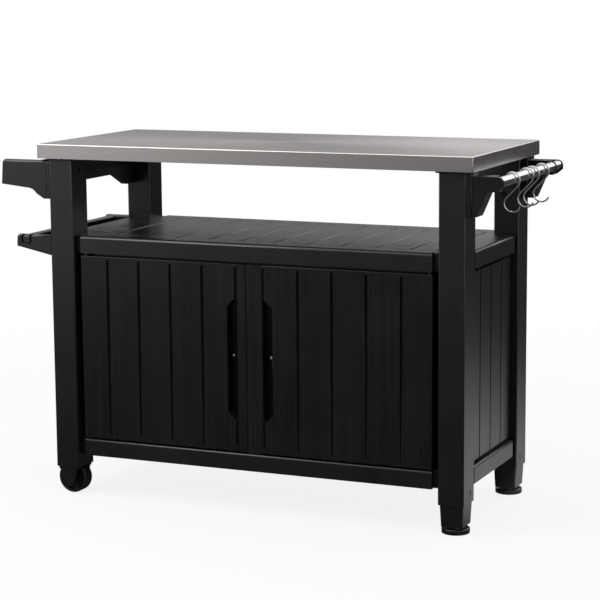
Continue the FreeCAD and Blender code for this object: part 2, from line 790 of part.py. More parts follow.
def plan_cross(inset, z0, z1):
    """The cabinet's plan: two crossed blocks that leave the leg corners free."""
    long_part = block(
        -(MAIN_X - inset), MAIN_X - inset, -(FACE_Y - inset), FACE_Y - inset, z0, z1
    )
    wide_part = block(
        -(FACE_X - inset), FACE_X - inset, -(MAIN_Y - inset), MAIN_Y - inset, z0, z1
    )
    return [long_part, wide_part]


def plan_tongues(z0, z1):
    """Narrower ends of the deck that run on to the legs."""
    face_y = FACE_Y - END_RECESS_DEPTH
    face_x = FACE_X - END_RECESS_DEPTH
    return [
        block(-LEG_IN_X, LEG_IN_X, -face_y, face_y, z0, z1),
        block(-face_x, face_x, -LEG_IN_Y, LEG_IN_Y, z0, z1),
    ]


def deck_grooves():
    """Planks run front to back, inside a border line."""
    field_x = MAIN_X - GROOVE_END
    field_y = FACE_Y - DECK_BORDER
    top = GROOVE_WIDTH / 2
    floor = GROOVE_FLOOR / 2
    cuts = []
    count = int((field_x - PLANK_PITCH / 2) // PLANK_PITCH) + 1
    for k in range(-count, count):
        x = (k + 0.5) * PLANK_PITCH
        z0 = DECK_Z - DECK_GROOVE_DEPTH
        outline = [(x - top, DECK_Z + TINY), (x + top, DECK_Z + TINY), (x + floor, z0), (x - floor, z0)]
        cuts.append(prism_xz(outline, -field_y, field_y))
    z0 = DECK_Z - BORDER_GROOVE_DEPTH
    for side in (-1, 1):
        edge_y = side * field_y
        edge_x = side * field_x
        cuts.append(block(-field_x, field_x, edge_y - floor, edge_y + floor, z0, DECK_Z + PAST))
        cuts.append(block(edge_x - floor, edge_x + floor, -field_y, field_y, z0, DECK_Z + PAST))
    return cuts


def shelf_deck():
    body = fuse(plan_cross(0, DECK_BOTTOM_Z, DECK_Z))
    outline = edges_on(body, Z_AXIS, DECK_Z)
    body = body.makeFillet(DECK_RADIUS, outline)
    body = fuse([body] + plan_tongues(DECK_BOTTOM_Z + TINY, DECK_Z - TONGUE_DROP))
    under = DECK_Z - DECK_PLATE
    corner_x = LEG_IN_X - WALL_WIDTH
    corner_y = LEG_IN_Y - WALL_WIDTH
    hollows = [
        block(-corner_x, corner_x, -WALL_IN_Y, WALL_IN_Y, DECK_BOTTOM_Z - PAST, under),
        block(-WALL_IN_X, WALL_IN_X, -corner_y, corner_y, DECK_BOTTOM_Z - PAST, under),
    ]
    body = body.cut(hollows)
    back = DOOR_BACK_Y + STOP_LIP_GAP
    lip_z = DECK_BOTTOM_Z - STOP_LIP_HEIGHT
    lip_x = HINGE_X - SOCKET_BOSS - STOP_LIP_GAP
    lip = both_x(lip_x, back, back + STOP_LIP_THICKNESS, lip_z, DECK_BOTTOM_Z + TINY)
    body = fuse([body, lip])
    sockets = []
    for side in (-1, 1):
        mouth = Vector(side * HINGE_X, HINGE_Y, DECK_BOTTOM_Z - PAST)
        depth = PAST + PIN_IN_SOCKET + PIN_END_GAP
        sockets.append(rod(PIN_RADIUS + RUNNING_CLEARANCE, mouth, Z_AXIS, depth))
    return body.cut(deck_grooves() + sockets)


def rail_y(side):
    """Bottom rail along X, built at the front; the front one carries the door pins."""
    outer = -FACE_Y
    inner = -WALL_IN_Y
    main = block(-MAIN_X, MAIN_X, outer, inner, RAIL_BOTTOM_Z, RAIL_TOP_Z)
    top_edges = [e for e in edges_on(main, Z_AXIS, RAIL_TOP_Z) if e.CenterOfMass.y < outer + TINY]
    main = main.makeFillet(RAIL_RADIUS, top_edges)
    recess = outer + END_RECESS_DEPTH
    tongue = block(-LEG_IN_X, LEG_IN_X, recess, inner, RAIL_BOTTOM_Z, RAIL_TOP_Z)
    hollow = block(
        -MAIN_X + RAIL_WALL,
        MAIN_X - RAIL_WALL,
        outer + RAIL_WALL,
        inner - RAIL_WALL,
        RAIL_BOTTOM_Z - PAST,
        RAIL_TOP_Z - RAIL_WALL,
    )
    ledge_x = LEG_IN_X - LEDGE_WIDTH
    ledge = block(
        -ledge_x, ledge_x, inner - TINY, inner + LEDGE_WIDTH, FLOOR_BOTTOM_Z - LEDGE_HEIGHT, FLOOR_BOTTOM_Z
    )
    body = fuse([main, tongue]).cut(hollow)
    if side > 0:
        return mirror_y(fuse([body, ledge]))
    bosses = []
    holes = []
    for end in (-1, 1):
        ends = sorted((end * (HINGE_X - SOCKET_BOSS), end * MAIN_X))
        low = RAIL_BOTTOM_Z + RAIL_WALL
        high = RAIL_TOP_Z - TONGUE_DROP
        bosses.append(block(ends[0], ends[1], outer + RAIL_WALL - TINY, inner, low, high))
        base = Vector(end * HINGE_X, HINGE_Y, RAIL_TOP_Z - PIN_IN_SOCKET - PIN_END_GAP)
        holes.append(rod(PIN_RADIUS + RUNNING_CLEARANCE, base, Z_AXIS, PIN_IN_SOCKET + PAST))
    return fuse([body, ledge] + bosses).cut(holes)


def rail_x(side):
    """Bottom rail along Y, built at the right and mirrored for the left."""
    outer = FACE_X
    inner = WALL_IN_X
    main = block(inner, outer, -MAIN_Y, MAIN_Y, RAIL_BOTTOM_Z, RAIL_TOP_Z)
    top_edges = [e for e in edges_on(main, Z_AXIS, RAIL_TOP_Z) if e.CenterOfMass.x > outer - TINY]
    main = main.makeFillet(RAIL_RADIUS, top_edges)
    recess = outer - END_RECESS_DEPTH
    tongue = block(inner, recess, -LEG_IN_Y, LEG_IN_Y, RAIL_BOTTOM_Z, RAIL_TOP_Z)
    hollow = block(
        inner + RAIL_WALL,
        outer - RAIL_WALL,
        -MAIN_Y + RAIL_WALL,
        MAIN_Y - RAIL_WALL,
        RAIL_BOTTOM_Z - PAST,
        RAIL_TOP_Z - RAIL_WALL,
    )
    ledge_y = LEG_IN_Y - LEDGE_WIDTH
    ledge = block(
        inner - LEDGE_WIDTH, inner + TINY, -ledge_y, ledge_y, FLOOR_BOTTOM_Z - LEDGE_HEIGHT, FLOOR_BOTTOM_Z
    )
    body = fuse([fuse([main, tongue]).cut(hollow), ledge])
    return body if side > 0 else mirror_x(body)


def cabinet_floor():
    long_part = block(-LEG_IN_X, LEG_IN_X, -WALL_IN_Y, WALL_IN_Y, FLOOR_BOTTOM_Z, FLOOR_TOP_Z)
    wide_part = block(-WALL_IN_X, WALL_IN_X, -LEG_IN_Y, LEG_IN_Y, FLOOR_BOTTOM_Z, FLOOR_TOP_Z)
    return fuse([long_part, wide_part])


def side_panel(side):
    outer = FACE_X - PANEL_SETBACK
    inner = outer - PANEL_THICKNESS
    main = block(inner, outer, -MAIN_Y, MAIN_Y, RAIL_TOP_Z, DECK_BOTTOM_Z)
    tongue = block(inner, outer - PANEL_STEP, -LEG_IN_Y, LEG_IN_Y, RAIL_TOP_Z, DECK_BOTTOM_Z)
    floor = outer - GROOVE_DEPTH
    low = RAIL_TOP_Z + PANEL_BOTTOM_STRIP
    high = DECK_BOTTOM_Z - PANEL_TOP_STRIP
    edge = [
        (outer + TINY, high - PLANK_CHAMFER),
        (outer + TINY, high + TINY),
        (outer - PLANK_CHAMFER, high + TINY),
    ]
    cuts = [
        block(floor, outer + PAST, -MAIN_Y - PAST, MAIN_Y + PAST, high, DECK_BOTTOM_Z + PAST),
        block(floor, outer + PAST, -MAIN_Y - PAST, MAIN_Y + PAST, RAIL_TOP_Z - PAST, low),
        prism_xz(edge, -MAIN_Y - PAST, MAIN_Y + PAST),
    ]
    count = int(MAIN_Y // SIDE_PLANK_PITCH)
    for k in range(-count, count + 1):
        y = k * SIDE_PLANK_PITCH
        if abs(y) < MAIN_Y - GROOVE_WIDTH:
            cuts.append(groove_z_side(y, outer, low - TINY, high + TINY, PANEL_GROOVE))
    body = fuse([main, tongue]).cut(cuts)
    return body if side > 0 else mirror_x(body)


def back_panel():
    outer = -DOOR_Y
    inner = outer - PANEL_THICKNESS
    main = both_x(MAIN_X, inner, outer, RAIL_TOP_Z, DECK_BOTTOM_Z)
    tongue = both_x(LEG_IN_X, inner, outer - PANEL_STEP, RAIL_TOP_Z, DECK_BOTTOM_Z)
    grooves = []
    count = int((MAIN_X - PLANK_PITCH / 2) // PLANK_PITCH) + 1
    for k in range(-count, count):
        x = (k + 0.5) * PLANK_PITCH
        grooves.append(
            groove_z(x, outer, RAIL_TOP_Z + GROOVE_END, DECK_BOTTOM_Z - GROOVE_END, PANEL_GROOVE, -1)
        )
    return fuse([main, tongue]).cut(grooves)


def door_catch():
    x0 = CATCH_X - CATCH_WIDTH / 2
    y0 = -FACE_Y + RAIL_RADIUS
    body = block(x0, x0 + CATCH_WIDTH, y0, y0 + CATCH_DEPTH, RAIL_TOP_Z, RAIL_TOP_Z + CATCH_HEIGHT)
    ends = [e for e in straight_edges(body, Y_AXIS) if e.CenterOfMass.z > RAIL_TOP_Z + TINY]
    return body.makeFillet(CATCH_EDGE, ends)


def pocket_cut(edge_x, groove_in_x, side):
    """Finger pocket beside the meeting strip, with slanted ends."""
    deep = edge_x + side * POCKET_WIDTH
    corner = deep - side * POCKET_CHAMFER
    points = [
        (groove_in_x, POCKET_BOTTOM_Z),
        (corner, POCKET_BOTTOM_Z),
        (deep, POCKET_BOTTOM_Z + POCKET_CHAMFER),
        (deep, POCKET_TOP_Z - POCKET_CHAMFER),
        (corner, POCKET_TOP_Z),
        (groove_in_x, POCKET_TOP_Z),
    ]
    return prism_xz(points, DOOR_Y - PAST, DOOR_Y + POCKET_DEPTH)


def strip_edges(side):
    """X of the plank field's edge, the meeting strip's outer edge and the door's free edge."""
    field = RIGHT_FIELD_X if side > 0 else -LEFT_FIELD_X
    strip = field - side * STEP_GROOVE_WIDTH
    free = SEAM_X + side * SEAM_GAP / 2
    return field, strip, free


def door_skin(side):
    """Front shell of a door: side -1 is the left door and +1 the right."""
    field, strip, free = strip_edges(side)
    hinge_edge = side * MAIN_X
    x0 = min(hinge_edge, free)
    x1 = max(hinge_edge, free)
    skin_back = DOOR_BACK_Y - DOOR_LINER
    body = block(x0, x1, DOOR_Y, skin_back, DOOR_BOTTOM_Z, DOOR_TOP_Z)
    body = body.makeFillet(DOOR_EDGE, edges_on(body, Y_AXIS, DOOR_Y))
    z0 = DOOR_BOTTOM_Z + DOOR_GROOVE_FOOT
    z1 = DOOR_TOP_Z - GROOVE_END
    cuts = []
    pitch = PLANK_PITCH if side > 0 else LEFT_DOOR_PLANK_PITCH
    planks = int((MAIN_X - abs(field) - DOOR_GROOVE_WIDTH) // pitch)
    for k in range(1, planks + 1):
        cuts.append(groove_z(field + side * k * pitch, DOOR_Y, z0, z1, DOOR_GROOVE, 1))
    step_floor = DOOR_Y + DOOR_GROOVE_DEPTH
    cuts.append(block(min(field, strip), max(field, strip), DOOR_Y - PAST, step_floor, z0, z1))
    cuts.append(
        block(
            min(strip, free) - TINY,
            max(strip, free) + PAST * (side < 0),
            DOOR_Y - PAST,
            DOOR_Y + STRIP_SETBACK,
            DOOR_BOTTOM_Z - PAST,
            DOOR_TOP_Z + PAST,
        )
    )
    cuts.append(pocket_cut(field, strip, side))
    body = body.cut(cuts)
    if side > 0:
        front = DOOR_Y + RIGHT_LIP_SETBACK
        root = DOOR_Y + STRIP_SETBACK + RIGHT_LIP_ROOT
        lip = block(free, free + RIGHT_LIP_WIDTH, front, root, DOOR_BOTTOM_Z, DOOR_TOP_Z)
        body = fuse([body, lip])
    body = body.cut(door_cavity(side))
    return body.cut(pin_rods(side) + handle_screw_hole(side))


def door_cavity(side):
    near = side * (HINGE_X - SOCKET_BOSS)
    far = strip_edges(side)[0] + side * (POCKET_WIDTH + DOOR_WALL)
    return block(
        min(near, far),
        max(near, far),
        DOOR_Y + DOOR_GROOVE_DEPTH + DOOR_LINER,
        DOOR_BACK_Y,
        DOOR_BOTTOM_Z + DOOR_WALL,
        DOOR_TOP_Z - DOOR_WALL,
    )


def pin_rods(side):
    lower = Vector(side * HINGE_X, HINGE_Y, RAIL_TOP_Z - PIN_IN_SOCKET)
    upper = Vector(side * HINGE_X, HINGE_Y, DOOR_TOP_Z - PIN_IN_DOOR)
    return [
        rod(PIN_RADIUS, lower, Z_AXIS, PIN_IN_SOCKET + DOOR_BOTTOM_GAP + PIN_IN_DOOR),
        rod(PIN_RADIUS, upper, Z_AXIS, PIN_IN_DOOR + DOOR_TOP_GAP + PIN_IN_SOCKET),
    ]


def handle_screw_start(side):
    x = strip_edges(side)[0] + side * POCKET_WIDTH / 2
    return Vector(x, DOOR_Y + POCKET_DEPTH, HANDLE_SCREW_Z)


def handle_screw_hole(side):
    start = handle_screw_start(side) - Y_AXIS * PAST
    return [rod(HANDLE_SCREW_SHANK, start, Y_AXIS, PAST + HANDLE_SCREW_LENGTH)]


def handle_screw(side):
    start = handle_screw_start(side)
    head = rod(HANDLE_SCREW_RADIUS, start - Y_AXIS * HANDLE_SCREW_HEAD, Y_AXIS, HANDLE_SCREW_HEAD)
    head = head.makeFillet(HANDLE_SCREW_HEAD / 2, edges_on(head, Y_AXIS, start.y - HANDLE_SCREW_HEAD))
    return fuse([head, rod(HANDLE_SCREW_SHANK, start, Y_AXIS, HANDLE_SCREW_LENGTH)])


def door_liner(side):
    free = strip_edges(side)[2]
    hinge_edge = side * MAIN_X
    x0 = min(hinge_edge, free)
    x1 = max(hinge_edge, free)
    skin_back = DOOR_BACK_Y - DOOR_LINER
    plate = block(x0, x1, skin_back, DOOR_BACK_Y, DOOR_BOTTOM_Z, DOOR_TOP_Z)
    plate = plate.makeFillet(DOOR_EDGE / 2, edges_on(plate, Y_AXIS, DOOR_BACK_Y))
    low = DOOR_BOTTOM_Z + LINER_RIM
    high = DOOR_TOP_Z - LINER_RIM
    floor = DOOR_BACK_Y - LINER_RECESS
    panel = block(x0 + LINER_RIM, x1 - LINER_RIM, floor, DOOR_BACK_Y + PAST, low, high)
    return plate.cut([panel] + handle_screw_hole(side))


def tray_profile():
    """End view in X and Z; the foot sweeps down to the leg in one curve."""
    leg_face = -LEG_OUT_X
    out = -TRAY_OUT_X
    flat = leg_face - TRAY_FLAT_X
    foot = leg_face - TRAY_FOOT_X
    y = 0
    corners = [
        (leg_face, TRAY_TOP_Z),
        (out + TRAY_LEAN + TRAY_BEVEL, TRAY_TOP_Z),
        (out + TRAY_LEAN, TRAY_TOP_Z - TRAY_BEVEL),
        (out, TRAY_OUTER_BOTTOM_Z),
        (flat, TRAY_INNER_BOTTOM_Z),
    ]
    points = [Vector(x, y, z) for x, z in corners]
    edges = [Part.LineSegment(a, b).toShape() for a, b in zip(points, points[1:])]
    mid_x = (flat + foot) / 2
    mid_z = (TRAY_INNER_BOTTOM_Z + TRAY_FOOT_Z) / 2
    middle = Vector(mid_x, y, mid_z)
    chord = middle - points[-1]
    across = Vector(-chord.z, y, chord.x).normalize()
    bend = points[-1] + chord / 2 + across * TRAY_SWEEP
    toe = Vector(foot, y, TRAY_FOOT_Z)
    root = Vector(leg_face, y, TRAY_FOOT_Z)
    edges.append(Part.Arc(points[-1], bend, middle).toShape())
    edges.append(Part.LineSegment(middle, toe).toShape())
    edges.append(Part.LineSegment(toe, root).toShape())
    edges.append(Part.LineSegment(root, points[0]).toShape())
    return Part.Face(Part.Wire(edges))


def extrude_y(face, y0, y1):
    moved = face.copy()
    moved.translate(Vector(0, y0, 0))
    return moved.extrude(Vector(0, y1 - y0, 0))


def tray_dip():
    """What is cut from the outer wall so that it is lower between its corners."""
    corner = LEG_OUT_Y - TRAY_DIP_START
    flat = corner - TRAY_DIP_RUN
    low = TRAY_TOP_Z - TRAY_DIP
    high = TRAY_TOP_Z + PAST
    outline = [
        (-corner, TRAY_TOP_Z),
        (-flat, low),
        (flat, low),
        (corner, TRAY_TOP_Z),
        (corner, high),
        (-corner, high),
    ]
    return prism_yz(outline, -TRAY_OUT_X - PAST, -TRAY_OUT_X + TRAY_LEAN + TRAY_WALL + PAST)


def bottle_tray():
    body = extrude_y(tray_profile(), -LEG_OUT_Y, LEG_OUT_Y)
    foot_y = LEG_OUT_Y - TRAY_FOOT_WIDTH
    between = block(
        -TRAY_OUT_X - PAST, -LEG_OUT_X + PAST, -foot_y, foot_y, TRAY_FOOT_Z - PAST, TRAY_ROOM_Z - TRAY_FLOOR
    )
    body = body.cut(between)
    rim = [e for e in edges_on(body, Z_AXIS, TRAY_TOP_Z) if abs(e.CenterOfMass.y) > LEG_OUT_Y - TINY]
    body = body.makeFillet(TRAY_RIM, rim)
    end_y = LEG_OUT_Y - TRAY_END_WALL
    room = block(
        -TRAY_OUT_X + TRAY_LEAN + TRAY_WALL,
        -LEG_OUT_X - TRAY_FLANGE,
        -end_y,
        end_y,
        TRAY_ROOM_Z,
        TRAY_TOP_Z + PAST,
    )
    room = rounded_upright(room, TRAY_CORNER)
    line_x = -LEG_OUT_X - TRAY_FLANGE
    lines = []
    for side in (-1, 1):
        y = side * LEG_OUT_Y
        lines.append(
            block(
                line_x - JOINT_LINE_WIDTH,
                line_x,
                y - JOINT_LINE_DEPTH,
                y + JOINT_LINE_DEPTH,
                TRAY_FOOT_Z - PAST,
                TRAY_TOP_Z + PAST,
            )
        )
    holes = screw_holes(bracket_screw_starts(), SCREW_RADIUS, BRACKET_SCREW_LENGTH)
    return body.cut([room, tray_dip()] + lines + holes)


def holder_section(x0, x1, y_mid):
    """Bar along X with a crowned top."""
    half = HOLDER_WIDTH / 2
    low = HOLDER_TOP_Z - 2 * HOLDER_ROOT_HEIGHT
    a = Vector(x0, y_mid - half, HOLDER_TOP_Z)
    b = Vector(x0, y_mid, HOLDER_TOP_Z + HOLDER_CROWN)
    c = Vector(x0, y_mid + half, HOLDER_TOP_Z)
    d = Vector(x0, y_mid + half, low)
    e = Vector(x0, y_mid - half, low)
    edges = [
        Part.Arc(a, b, c).toShape(),
        Part.LineSegment(c, d).toShape(),
        Part.LineSegment(d, e).toShape(),
        Part.LineSegment(e, a).toShape(),
    ]
    return Part.Face(Part.Wire(edges)).extrude(Vector(x1 - x0, 0, 0))


def holder_arm(side_y):
    y_mid = side_y * (LEG_OUT_Y - HOLDER_WIDTH / 2)
    tip = -LEG_OUT_X - HOLDER_REACH
    section = holder_section(tip, -LEG_OUT_X, y_mid)
    high = HOLDER_TOP_Z + HOLDER_CROWN + PAST
    outline = [
        (tip, HOLDER_TOP_Z - HOLDER_TIP_HEIGHT),
        (-LEG_OUT_X, HOLDER_TOP_Z - HOLDER_ROOT_HEIGHT),
        (-LEG_OUT_X, high),
        (tip + HOLDER_CROWN / 2, high),
    ]
    return section.common(prism_xz(outline, y_mid - HOLDER_WIDTH, y_mid + HOLDER_WIDTH))


def clip_room(side_y, gap):
    """Space of the clip: a slot down the outer face and over the crown."""
    out = side_y * (LEG_OUT_Y + PAST)
    root = side_y * (LEG_OUT_Y - CLIP_REACH - (CLIP_ROOT_GAP if gap else 0))
    leaf = side_y * (LEG_OUT_Y - CLIP_LEAF - (CLIP_CLEARANCE if gap else 0))
    wide = CLIP_WIDTH / 2 + (CLIP_GAP if gap else 0)
    drop = CLIP_CLEARANCE if gap else 0
    x0 = -LEG_OUT_X - CLIP_X - wide
    x1 = -LEG_OUT_X - CLIP_X + wide
    high = HOLDER_TOP_Z + HOLDER_CROWN + PAST
    upper = block(x0, x1, min(out, root), max(out, root), CLIP_CORE_Z + CLIP_CLEARANCE - drop, high)
    front = block(x0, x1, min(out, leaf), max(out, leaf), CLIP_LEAF_BOTTOM_Z - 2 * drop, high)
    return fuse([upper, front])


def bag_holder():
    mid_y = LEG_OUT_Y - HOLDER_WIDTH / 2
    tip = -LEG_OUT_X - HOLDER_REACH
    inner_y = LEG_OUT_Y - HOLDER_WIDTH
    outer_bar = block(
        tip + HOLDER_CROWN / 2,
        tip + HOLDER_BAR,
        -mid_y,
        mid_y,
        HOLDER_TOP_Z - HOLDER_TIP_HEIGHT + HOLDER_BAR_RISE,
        HOLDER_TOP_Z,
    )
    outer_bar = outer_bar.makeFillet(HOLDER_CROWN / 2, edges_on(outer_bar, Z_AXIS, HOLDER_TOP_Z))
    inner_bar = block(
        -LEG_OUT_X - HOLDER_INNER_BAR,
        -LEG_OUT_X,
        -inner_y - PAST,
        inner_y + PAST,
        HOLDER_TOP_Z - HOLDER_TIP_HEIGHT + HOLDER_BAR_RISE,
        HOLDER_TOP_Z - HOLDER_INNER_DROP,
    )
    body = fuse([holder_arm(-1), holder_arm(1), outer_bar, inner_bar])
    rooms = [clip_room(-1, True), clip_room(1, True)]
    return body.cut(rooms + screw_holes(holder_screw_starts(), SCREW_RADIUS, BRACKET_SCREW_LENGTH))


def bag_clip(side_y):
    return holder_arm(side_y).common(clip_room(side_y, False))


def arm_outline():
    """Side view of a towel arm: foot, gusset, underside, slanted chin and a nose round the bar."""
    root = LEG_OUT_X + ARM_PLATE
    foot = root + ARM_FOOT_WIDTH
    bend = foot + ARM_GUSSET_RUN
    y = 0
    reach = BAR_RADIUS + ARM_RIM
    nose_top = Vector(BAR_X, y, BAR_Z + reach)
    nose_mid = turned(Vector(BAR_X, y, BAR_Z), reach, 45)
    nose_tip = Vector(BAR_X + reach, y, BAR_Z)
    chin_top = Vector(BAR_X + reach, y, ARM_BOTTOM_Z + ARM_CHIN_RISE)
    chin_low = Vector(BAR_X + reach - ARM_CHIN_RUN, y, ARM_BOTTOM_Z)
    arm_low = Vector(bend, y, ARM_BOTTOM_Z)
    low_foot = Vector(foot, y, ARM_FOOT_Z)
    low_root = Vector(root - PAST, y, ARM_FOOT_Z)
    top_root = Vector(root - PAST, y, BAR_Z + reach)
    edges = [
        Part.LineSegment(top_root, nose_top).toShape(),
        Part.Arc(nose_top, nose_mid, nose_tip).toShape(),
        Part.LineSegment(nose_tip, chin_top).toShape(),
        Part.LineSegment(chin_top, chin_low).toShape(),
        Part.LineSegment(chin_low, arm_low).toShape(),
        Part.LineSegment(arm_low, low_foot).toShape(),
        Part.LineSegment(low_foot, low_root).toShape(),
        Part.LineSegment(low_root, top_root).toShape(),
    ]
    return Part.Face(Part.Wire(edges))


def towel_arm(side_y):
    arm = extrude_y(arm_outline(), ARM_IN_Y, ARM_OUT_Y)
    seat, up = bar_screw_starts()[1]
    arm = fuse([arm, rod(BAR_SCREW_BOSS, seat - up * SCREW_HEAD, up, BAR_Z - ARM_BOTTOM_Z)])
    head = rod(SCREW_HEAD_RADIUS + SCREW_CLEARANCE, seat - up * (SCREW_HEAD + PAST), up, SCREW_HEAD + PAST)
    end_y = ARM_OUT_Y - ARM_END_PLATE
    y0 = ARM_IN_Y - PAST
    bed = rod(BAR_RADIUS + SADDLE_CLEARANCE, Vector(BAR_X, y0, BAR_Z), Y_AXIS, end_y - y0)
    clear = 2 * BAR_RADIUS
    open_front = block(BAR_X, BAR_X + clear, y0, end_y, ARM_BOTTOM_Z - PAST, BAR_Z + TINY)
    open_top = block(BAR_X - SADDLE_LIP, BAR_X + clear, y0, end_y, BAR_Z, BAR_Z + clear)
    arm = arm.cut([bed, open_front, open_top, head])
    plate_in = LEG_OUT_Y - ARM_PLATE_WIDTH
    plate = block(LEG_OUT_X, LEG_OUT_X + ARM_PLATE, plate_in, LEG_OUT_Y, ARM_FOOT_Z, ARM_PLATE_TOP_Z)
    plate = rounded_upright(plate, ARM_EDGE)
    body = fuse([arm, plate])
    starts = bracket_screw_starts() + bar_screw_starts()
    body = body.cut(screw_holes(starts, SCREW_RADIUS, BRACKET_SCREW_LENGTH))
    return body if side_y > 0 else mirror_y(body)


def bar_screw_starts():
    """The bar is held from below, by one screw with a sunk head through each arm."""
    y = (ARM_IN_Y + ARM_OUT_Y - ARM_END_PLATE) / 2
    x = BAR_X - BAR_SCREW_OFFSET
    return [(Vector(x, side * y, ARM_BOTTOM_Z + SCREW_HEAD), Z_AXIS) for side in (-1, 1)]


def all_bracket_screw_starts():
    return bracket_screw_starts() + holder_screw_starts() + bar_screw_starts()


def bar_half_length():
    return ARM_OUT_Y - ARM_END_PLATE - PLUG_CLEARANCE


def towel_bar():
    half = bar_half_length()
    start = Vector(BAR_X, -half, BAR_Z)
    tube = rod(BAR_RADIUS, start, Y_AXIS, 2 * half)
    bore = rod(BAR_RADIUS - BAR_WALL, start - Y_AXIS * PAST, Y_AXIS, 2 * half + 2 * PAST)
    holes = screw_holes(bar_screw_starts(), SCREW_RADIUS + SCREW_CLEARANCE, SCREW_LENGTH)
    return tube.cut([bore] + holes)


def towel_bar_ring():
    """Rubber stop for the hooks at the bar's rear end."""
    start = Vector(BAR_X, RING_Y - RING_WIDTH / 2, BAR_Z)
    ring = rod(BAR_RADIUS + RING_THICKNESS, start, Y_AXIS, RING_WIDTH)
    return ring.cut(rod(BAR_RADIUS, start - Y_AXIS * PAST, Y_AXIS, RING_WIDTH + 2 * PAST))


def turned(centre, radius, degrees):
    a = math.radians(degrees)
    return Vector(centre.x + radius * math.cos(a), centre.y, centre.z + radius * math.sin(a))


def hook_arc(centre, radius, first, last):
    turns = (first, (first + last) / 2, last)
    return Part.Arc(*[turned(centre, radius, degrees) for degrees in turns]).toShape()


def s_hook(y):
    """Wire bent in an S: a loop over the bar, a slanting shank and an open bend."""
    loop_z = BAR_Z + BAR_RADIUS + HOOK_REST_GAP + HOOK_WIRE - HOOK_LOOP
    loop = Vector(BAR_X, y, loop_z)
    bend = Vector(BAR_X, y, loop_z - HOOK_DROP)
    turn = math.degrees(math.acos((HOOK_LOOP + HOOK_BEND) / HOOK_DROP))
    leave = turn - 90
    meet = turn + 90
    start = turned(loop, HOOK_LOOP, HOOK_FREE_ANGLE)
    shank_top = turned(loop, HOOK_LOOP, leave)
    shank_low = turned(bend, HOOK_BEND, meet)
    path = Part.Wire(
        [
            hook_arc(loop, HOOK_LOOP, HOOK_FREE_ANGLE, leave),
            Part.LineSegment(shank_top, shank_low).toShape(),
            hook_arc(bend, HOOK_BEND, meet, 360 + HOOK_TIP_ANGLE),
        ]
    )
    a = math.radians(HOOK_FREE_ANGLE)
    heading = Vector(math.sin(a), 0, -math.cos(a))
    profile = Part.Wire([Part.makeCircle(HOOK_WIRE, start, heading)])
    return path.makePipeShell([profile], True, False)


def place(shape):
    moved = shape.copy()
    moved.translate(Vector(SHIFT_X, 0, 0))
    return moved


def make_nodes():
    nodes = {
        "steel_top": steel_top(),
        "top_panel": top_panel(),
        "front_top_rail": top_rail(-1),
        "rear_top_rail": top_rail(1),
        "left_top_rail": top_end_rail(-1),
        "right_top_rail": top_end_rail(1),
        "top_ribs": top_ribs(),
        "front_left_leg": leg(-1, -1),
        "rear_left_leg": leg(-1, 1),
        "front_right_leg": leg(1, -1),
        "rear_right_leg": leg(1, 1),
        "leg_heads": leg_heads(),
        "front_foot_cap": foot_cap(-1),
        "rear_foot_cap": foot_cap(1),
        "foot_nuts": foot_nuts(),
        "front_foot_pad": foot_pad(-1),
        "rear_foot_pad": foot_pad(1),
        "front_foot_stem": foot_stem(-1),
        "rear_foot_stem": foot_stem(1),
        "front_wheel_fork": wheel_fork(-1),
        "rear_wheel_fork": wheel_fork(1),
        "wheel_axles": wheel_axles(),
        "front_wheel": wheel(-1),
        "rear_wheel": wheel(1),
        "left_apron": apron(-1),
        "right_apron": apron(1),
        "shelf_deck": shelf_deck(),
        "front_rail": rail_y(-1),
        "rear_rail": rail_y(1),
        "left_rail": rail_x(-1),
        "right_rail": rail_x(1),
        "cabinet_floor": cabinet_floor(),
        "left_panel": side_panel(-1),
        "right_panel": side_panel(1),
        "back_panel": back_panel(),
        "door_catch": door_catch(),
        "bottle_tray": bottle_tray(),
        "bag_holder": bag_holder(),
        "front_bag_clip": bag_clip(-1),
        "rear_bag_clip": bag_clip(1),
        "front_towel_arm": towel_arm(-1),
        "rear_towel_arm": towel_arm(1),
        "towel_bar": towel_bar(),
        "towel_bar_ring": towel_bar_ring(),
        "bracket_screws": screws(all_bracket_screw_starts(), BRACKET_SCREW_LENGTH),
        "top_screws": screws(top_screw_starts(), SCREW_LENGTH - SCREW_END_GAP),
    }
    for side, word in ((-1, "left"), (1, "right")):
        nodes[word + "_door_skin"] = door_skin(side)
        nodes[word + "_door_liner"] = door_liner(side)
        nodes[word + "_door_pins"] = Part.Compound(pin_rods(side))
        nodes[word + "_door_screw"] = handle_screw(side)
    for number, y in enumerate(HOOK_YS, start=1):
        nodes["s_hook_%d" % number] = s_hook(y)
    return nodes


def main():
    os.makedirs("parts", exist_ok=True)
    for name, shape in make_nodes().items():
        placed = place(shape)
        placed.exportStep("parts/%s.step" % name)


main()
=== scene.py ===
import json
import math

import bmesh
import bpy
from bpy.props import FloatProperty, FloatVectorProperty, PointerProperty
from mathutils import Matrix, Vector

